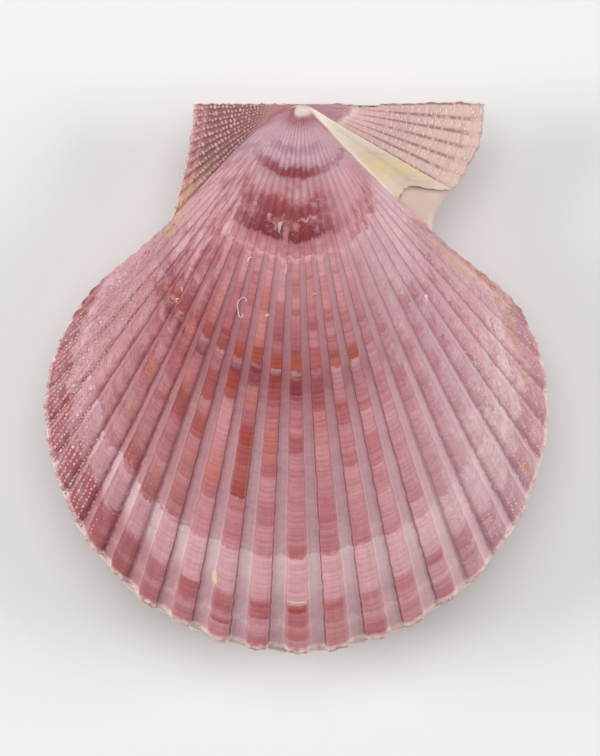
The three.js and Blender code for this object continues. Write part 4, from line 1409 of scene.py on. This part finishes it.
class Rows:
    """Lines along which scales grow, as one mesh of edges with the size, spacing and odds of the scales."""

    FIELDS = ("size", "long", "spacing", "odds", "grow", "rib")

    def __init__(self, valve):
        self.valve = valve
        self.points, self.lifts, self.edges = [], [], []
        self.fields = {name: [] for name in self.FIELDS}

    def add(self, place, s, raised=0.0, **given):
        start = sum(len(p) for p in self.points)
        place = np.broadcast_to(np.asarray(place, float), s.shape)
        up = self.valve.outward(place, s) * (raised * s)[:, None]
        self.points.append(placed(self.valve, self.valve.skin(place, s) + up))
        self.lifts.append(self.valve.outward(place, s) * (1, 1, self.valve.facing))
        self.edges += [(start + i, start + i + 1) for i in range(len(s) - 1)]
        for name in self.FIELDS:
            value = s if name == "grow" else given[name]
            self.fields[name].append(np.broadcast_to(np.asarray(value, float), s.shape))

    def made(self, name):
        mesh = new_mesh(name, np.vstack(self.points).tolist(), self.edges, [])
        for field, parts in self.fields.items():
            store(mesh, field, np.concatenate(parts))
        store(mesh, "lift", np.vstack(self.lifts))
        return new_object(name, mesh)


def crowding(rib, s):
    """How crowded scales are on the rear and on the front ribs: more to the sides and the margin."""
    rear = smooth(-8.3, -10.3, rib - 3.2 * smooth(0.78, 0.96, s)) * (0.35 + 0.65 * smooth(0.5, 0.66, s))
    reach = rib + 2.2 * smooth(0.55, 0.95, s) + 1.8 * smooth(0.86, 0.96, s)
    return rear, smooth(7.6, 9.8, reach) * smooth(0.3, 0.5, s)


def scale_rows(valve):
    """Rows on each rib, crowded towards the sides and the margin, in its creases and on each riblet."""
    rows = Rows(valve)
    ribs = [k + valve.rib_shift for k in range(-END_RIB, END_RIB) if abs(k + valve.rib_shift) <= LAST_RIB]
    s = np.linspace(0.08, 0.996, ROW_STEPS)
    for number in ribs:
        for phase in SCALE_PHASES:
            rib = number + phase
            on_crest = abs(phase) < CREST_REACH
            rear, front = crowding(rib, s)
            few = 0.07 * smooth(4.0, 6.0, abs(rib)) * smooth(0.5, 0.7, s)
            crowd = np.maximum(rear, (0.62 if on_crest else 0.3) * front)
            crowd = np.maximum(crowd, few * on_crest) * (0.55 + 0.45 * smooth(0.55, 0.75, s))
            size = (0.2 + 0.33 * rear + 0.14 * front) * MM * smooth(0.0, 0.8, s) ** 0.5
            raised = rib_heights(valve, np.full_like(s, number)) * on_crest
            place = valve.rib_place(np.full_like(s, rib))
            rows.add(place, s, raised, size=size, odds=0.95 * crowd, rib=rib, **RIB_SCALES)
        for phase in CREASE_PHASES:
            rib = number + phase
            odds = 0.16 * smooth(0.1, 0.2, s) * (1 - 0.6 * smooth(0.3, 0.45, s))
            rows.add(valve.rib_place(np.full_like(s, rib)), s, odds=odds, rib=rib, **CREASE_SCALES)
    s = np.linspace(0.2, 0.985, ROW_STEPS)
    for side in (valve.rear, valve.front):
        for i in range(2 * FLANK_RIBLETS):
            beyond = (i / 2 + 0.3) / FLANK_RIBLETS
            place = side.joint + (side.flank - side.joint) * (1 - beyond)
            size = FLANK_SCALE_SIZE * smooth(0.0, 0.8, s)
            rows.add(place, s, size=size, rib=-END_RIB * side.step, **FLANK_SCALES)
    rear_end, front_start = valve.rear.joint - JOINT_GAP, valve.bare_to + JOINT_GAP
    for bar in REAR_BARS:
        add_ear_rows(rows, valve, (0, rear_end), REAR_RIBLETS, valve.rear, bar)
    for bar in FRONT_BARS:
        add_ear_rows(rows, valve, (front_start, valve.last), valve.front_riblets, valve.front, bar)
    return rows


def add_ear_rows(rows, valve, reach, riblets, side, bar):
    offset, width, long, spacing, odds = bar
    angles, places = valve.angle_table(*reach)
    for i in range(riblets):
        angle = angles[0] + (angles[-1] - angles[0]) * (i + 0.5 + offset) / riblets
        s = np.linspace(0.22, 0.985, ROW_STEPS) * side.ear_end
        size = width * MM * smooth(0.0, 0.8, s / side.ear_end) ** 0.7
        rows.add(np.interp(angle, angles, places), s, np.full_like(s, RIBLET_RELIEF), size=size, long=long,
                 spacing=spacing * MM, odds=odds, rib=-EAR_RIB * side.step)


def scale_tree():
    """Sets scales along rows, snapped to a valve's surface, each turned with its row."""
    tree = Relief("scale rows", [
        ("Surface", "NodeSocketObject", None),
        ("Shape", "NodeSocketObject", None),
        ("Least Size", "NodeSocketFloat", 0.6),
        ("Most Size", "NodeSocketFloat", 1.25),
        ("Flatness", "NodeSocketFloat", 0.5),
        ("Seed", "NodeSocketInt", 1),
        ("Material", "NodeSocketMaterial", None),
    ])
    given = tree.given
    curve = tree.node("GeometryNodeMeshToCurve", {"Mesh": given["Geometry"]}).outputs[0]
    even = tree.node("GeometryNodeResampleCurve",
                     {"Curve": curve, "Length": tree.attribute("spacing")}, mode="LENGTH")
    target = tree.node("GeometryNodeObjectInfo", {"Object": given["Surface"]}).outputs["Geometry"]
    near = tree.node("GeometryNodeProximity", {0: target}, target_element="FACES").outputs["Position"]
    stray = tree.node("FunctionNodeRandomValue", {"Seed": given["Seed"]}, data_type="FLOAT_VECTOR")
    stray.inputs[0].default_value = (-STRAY, -STRAY, 0)
    stray.inputs[1].default_value = (STRAY, STRAY, 0)
    points = tree.moved(even.outputs[0], position=near, offset=stray.outputs[0])
    keep = tree.node("FunctionNodeRandomValue", {"Probability": tree.attribute("odds"),
                                                 "Seed": tree.plus(given["Seed"], 1.0)},
                     data_type="BOOLEAN").outputs[3]
    size = tree.node("FunctionNodeRandomValue", {"Seed": tree.plus(given["Seed"], 2.0)}, data_type="FLOAT")
    tree.give(size.inputs[2], given["Least Size"])
    tree.give(size.inputs[3], given["Most Size"])
    upright = tree.node("FunctionNodeAlignRotationToVector",
                        {"Vector": tree.attribute("lift", "FLOAT_VECTOR")}, axis="Z").outputs[0]
    tangent = tree.node("GeometryNodeInputTangent").outputs[0]
    turned = tree.node("FunctionNodeAlignRotationToVector", {"Rotation": upright, "Vector": tangent},
                       axis="X", pivot_axis="Z").outputs[0]
    shape = tree.node("GeometryNodeObjectInfo", {"Object": given["Shape"]}).outputs["Geometry"]
    across = tree.times(size.outputs[1], tree.attribute("size"))
    flat = tree.times(across, given["Flatness"])
    tint = tree.node("FunctionNodeRandomValue", {"Seed": tree.plus(given["Seed"], 3.0)}, data_type="FLOAT")
    points = tree.keep(points, "tint", tint.outputs[1])
    made = tree.node("GeometryNodeInstanceOnPoints", {
        "Points": points, "Selection": keep, "Instance": shape, "Rotation": turned,
        "Scale": tree.join(tree.times(across, tree.attribute("long")), across, flat)})
    tree.finish(made.outputs[0])
    return tree


def scale_material(name):
    """Glossy pale beads, pinker on the left, whiter on the right, a few sandy."""
    paint = Surface(name)
    grain = place_group(paint, GRAIN, {"Grain Size": 5200.0, "Mottle Size": 300.0})
    tint, rib = paint.attribute("tint"), paint.attribute("rib")
    colour = paint.bands(tint, [(0.0, ROSE), (0.3, EAR_ROSE), (0.85, BEAD_PINK), (0.96, EAR_PINK),
                                (0.99, PALE_CREAM), (0.993, SAND), (1.0, SAND)])
    colour = paint.mix(paint.ramp(grain["Mottle"], 0.4, 0.6, 0.0, 0.8), colour, ROSE)
    colour = paint.mix(paint.times(paint.ramp(rib, 3.0, 7.0), 0.55), colour, PALE_PINK)
    colour = paint.mix(paint.times(paint.ramp(rib, -13.4, -13.9), 0.5), colour, EAR_PINK)
    colour = paint.mix(paint.times(paint.ramp(rib, 13.0, 13.9), 0.85), colour, PALE_CREAM)
    return paint.finish(colour, paint.spread(grain["Grain"], 0.38, 0.5))


def scales_on(valve, surface, side, seed):
    """The scales of one valve, set on the surface that was made for it."""
    material = scale_material(side + " scales")
    values = {"Surface": surface, "Shape": BEAD_SHAPE, "Material": material, "Seed": seed}
    name = side + "_valve_scales"
    piece = grow(scale_rows(valve).made(name + "_rows"), SCALE_TREE, values, name)
    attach(piece, "root")


# Worm tubes: centre as rib and growth, half width in ribs, half length in growth, and turns in degrees.
WORM_TUBES = [(-3.4, 0.4225, 0.22, 0.02, 25, 330), (-3.66, 0.342, 0.2, 0.01, 30, 220),
              (-0.72, 0.332, 0.05, 0.011, 60, 250), (-7.75, 0.503, 0.2, 0.006, -30, 110),
              (-7.45, 0.522, 0.18, 0.006, 80, 260), (1.25, 0.382, 0.2, 0.005, -20, 150)]
TUBE_STEPS = 24
TUBE_LIFT = 0.04 * MM


def tube_tree():
    """Round tubes along lines, sunk into a valve's surface."""
    tree = Relief("worm tubes", [
        ("Surface", "NodeSocketObject", None),
        ("Radius", "NodeSocketFloat", 0.12 * MM),
        ("Step", "NodeSocketFloat", 0.2 * MM),
        ("Material", "NodeSocketMaterial", None),
    ])
    given = tree.given
    curve = tree.node("GeometryNodeMeshToCurve", {"Mesh": given["Geometry"]}).outputs[0]
    even = tree.node("GeometryNodeResampleCurve", {"Curve": curve, "Length": given["Step"]},
                     mode="LENGTH").outputs[0]
    target = tree.node("GeometryNodeObjectInfo", {"Object": given["Surface"]}).outputs["Geometry"]
    near = tree.node("GeometryNodeProximity", {0: target}, target_element="FACES").outputs["Position"]
    above = tree.scaled(tree.attribute("lift", "FLOAT_VECTOR"), TUBE_LIFT)
    lying = tree.moved(even, position=near, offset=above)
    place = tree.node("GeometryNodeInputPosition").outputs[0]
    even_place = tree.node("GeometryNodeBlurAttribute", {"Value": place, "Iterations": 5},
                           data_type="FLOAT_VECTOR")
    lying = tree.moved(lying, position=even_place.outputs[0])
    profile = tree.node("GeometryNodeCurvePrimitiveCircle",
                        {"Resolution": 8, "Radius": given["Radius"]}).outputs[0]
    made = tree.node("GeometryNodeCurveToMesh", {"Curve": lying, "Profile Curve": profile, "Fill Caps": True})
    tree.finish(made.outputs[0])
    return tree


def worm_tubes():
    """Chalky tubes that worms left on the upper valve."""
    rows = Rows(RIGHT)
    for rib, growth, width, length, first, last in WORM_TUBES:
        turn = np.radians(np.linspace(first, last, TUBE_STEPS))
        s = growth - length * np.sin(turn) * (1 + 0.12 * np.sin(3 * turn))
        across = rib + width * np.cos(turn) * (1 + 0.15 * np.cos(2 * turn))
        rows.add(RIGHT.rib_place(across), s, rib_heights(RIGHT, across), size=0, long=1, spacing=0, odds=1,
                 rib=across)
    values = {"Surface": right_valve, "Material": tube_material()}
    piece = grow(rows.made("worm_tube_lines"), tube_tree(), values, "worm_tubes")
    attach(piece, "root")


def tube_material():
    """Chalk, a little worn and grey."""
    paint = Surface("worm tube chalk")
    grain = place_group(paint, GRAIN, {"Mottle Size": 900.0})
    colour = paint.mix(paint.ramp(grain["Mottle"], 0.38, 0.5, 0.0, 0.95), PALE_CREAM, PINK)
    return paint.finish(colour, paint.spread(grain["Grain"], 0.6, 0.85), grain["Grain"])


def ligament_material():
    """Dark brown horn in thin layers, drier and paler in places."""
    paint = Surface("hinge ligament horn")
    grain = place_group(paint, GRAIN, {"Grain Size": 4000.0, "Mottle Size": 700.0})
    where = paint.node("ShaderNodeTexCoord").outputs["Object"]
    values = {"Vector": where, "Scale": 900.0, "Distortion": 3.0, "Detail": 2.0}
    layers = paint.node("ShaderNodeTexWave", values, bands_direction="Z").outputs["Fac"]
    colour = paint.mix(paint.ramp(grain["Mottle"], 0.5, 0.7, 0.0, 0.5), paint.bands(layers, HORN), DRY_HORN)
    height = paint.plus(paint.times(layers, 0.6), paint.times(grain["Grain"], 0.4))
    return paint.finish(colour, paint.spread(grain["Mottle"], 0.35, 0.6), height)


BEAD_SHAPE = bead_shape()
SCALE_TREE = scale_tree()
scales_on(RIGHT, right_valve, "right", 5)
scales_on(LEFT, left_valve, "left", 9)
bpy.data.objects.remove(BEAD_SHAPE)
worm_tubes()
bpy.data.objects["hinge_ligament"].material_slots[0].material = ligament_material()


# The camera's lens and sensor, and the photo's height and centre in the growth model, in millimetres.
LENS = 200
SENSOR = 36
PIXEL = 0.16453
PHOTO_HEIGHT = 756 * PIXEL
PHOTO_CENTRE = (0.247, -44.92)
AMBIENT = 0.17


def floor():
    """A plain pale sheet under the shell."""
    half = 2.0
    corners = [(-half, -half, 0), (half, -half, 0), (half, half, 0), (-half, half, 0)]
    mesh = new_mesh("floor", corners, [], [(0, 1, 2, 3)])
    surface = Surface("pale floor", shine=0.1)
    mesh.materials.append(surface.finish((0.78, 0.77, 0.76, 1), 0.9))
    new_object("floor", mesh)


def soft_light(name, place, size, power, target=(0, 0, 0.01)):
    """A square soft light that faces a target."""
    data = bpy.data.lights.new(name, "AREA")
    data.shape = "SQUARE"
    data.size = size
    data.energy = power
    made = new_object(name, data)
    made.location = place
    away = Vector(place) - Vector(target)
    made.rotation_euler = away.to_track_quat("Z", "Y").to_euler()


def studio():
    soft_light("left light", (-0.8, 0.05, 0.5), 0.45, 5.65)
    soft_light("right light", (0.8, 0.05, 0.5), 0.45, 4.85)
    soft_light("top light", (0.0, 0.3, 1.2), 0.8, 7.0)
    world = bpy.data.worlds.new("studio")
    bpy.context.scene.world = world
    world.use_nodes = True
    background = world.node_tree.nodes["Background"].inputs
    background["Color"].default_value = (1, 1, 1, 1)
    background["Strength"].default_value = AMBIENT
    bpy.context.scene.view_settings.view_transform = "Standard"


def camera():
    """Straight above the shell, at the photo's scale in the plane where the valves meet."""
    data = bpy.data.cameras.new("camera")
    data.lens = LENS
    data.sensor_fit = "VERTICAL"
    data.sensor_height = SENSOR
    made = new_object("camera", data)
    height = PHOTO_HEIGHT * LENS / SENSOR
    centre = (np.array(PHOTO_CENTRE) + SHIFT[:2]) * MM
    made.location = (centre[0], centre[1], SHIFT[2] * MM + height * MM)
    bpy.context.scene.camera = made


floor()
studio()
camera()
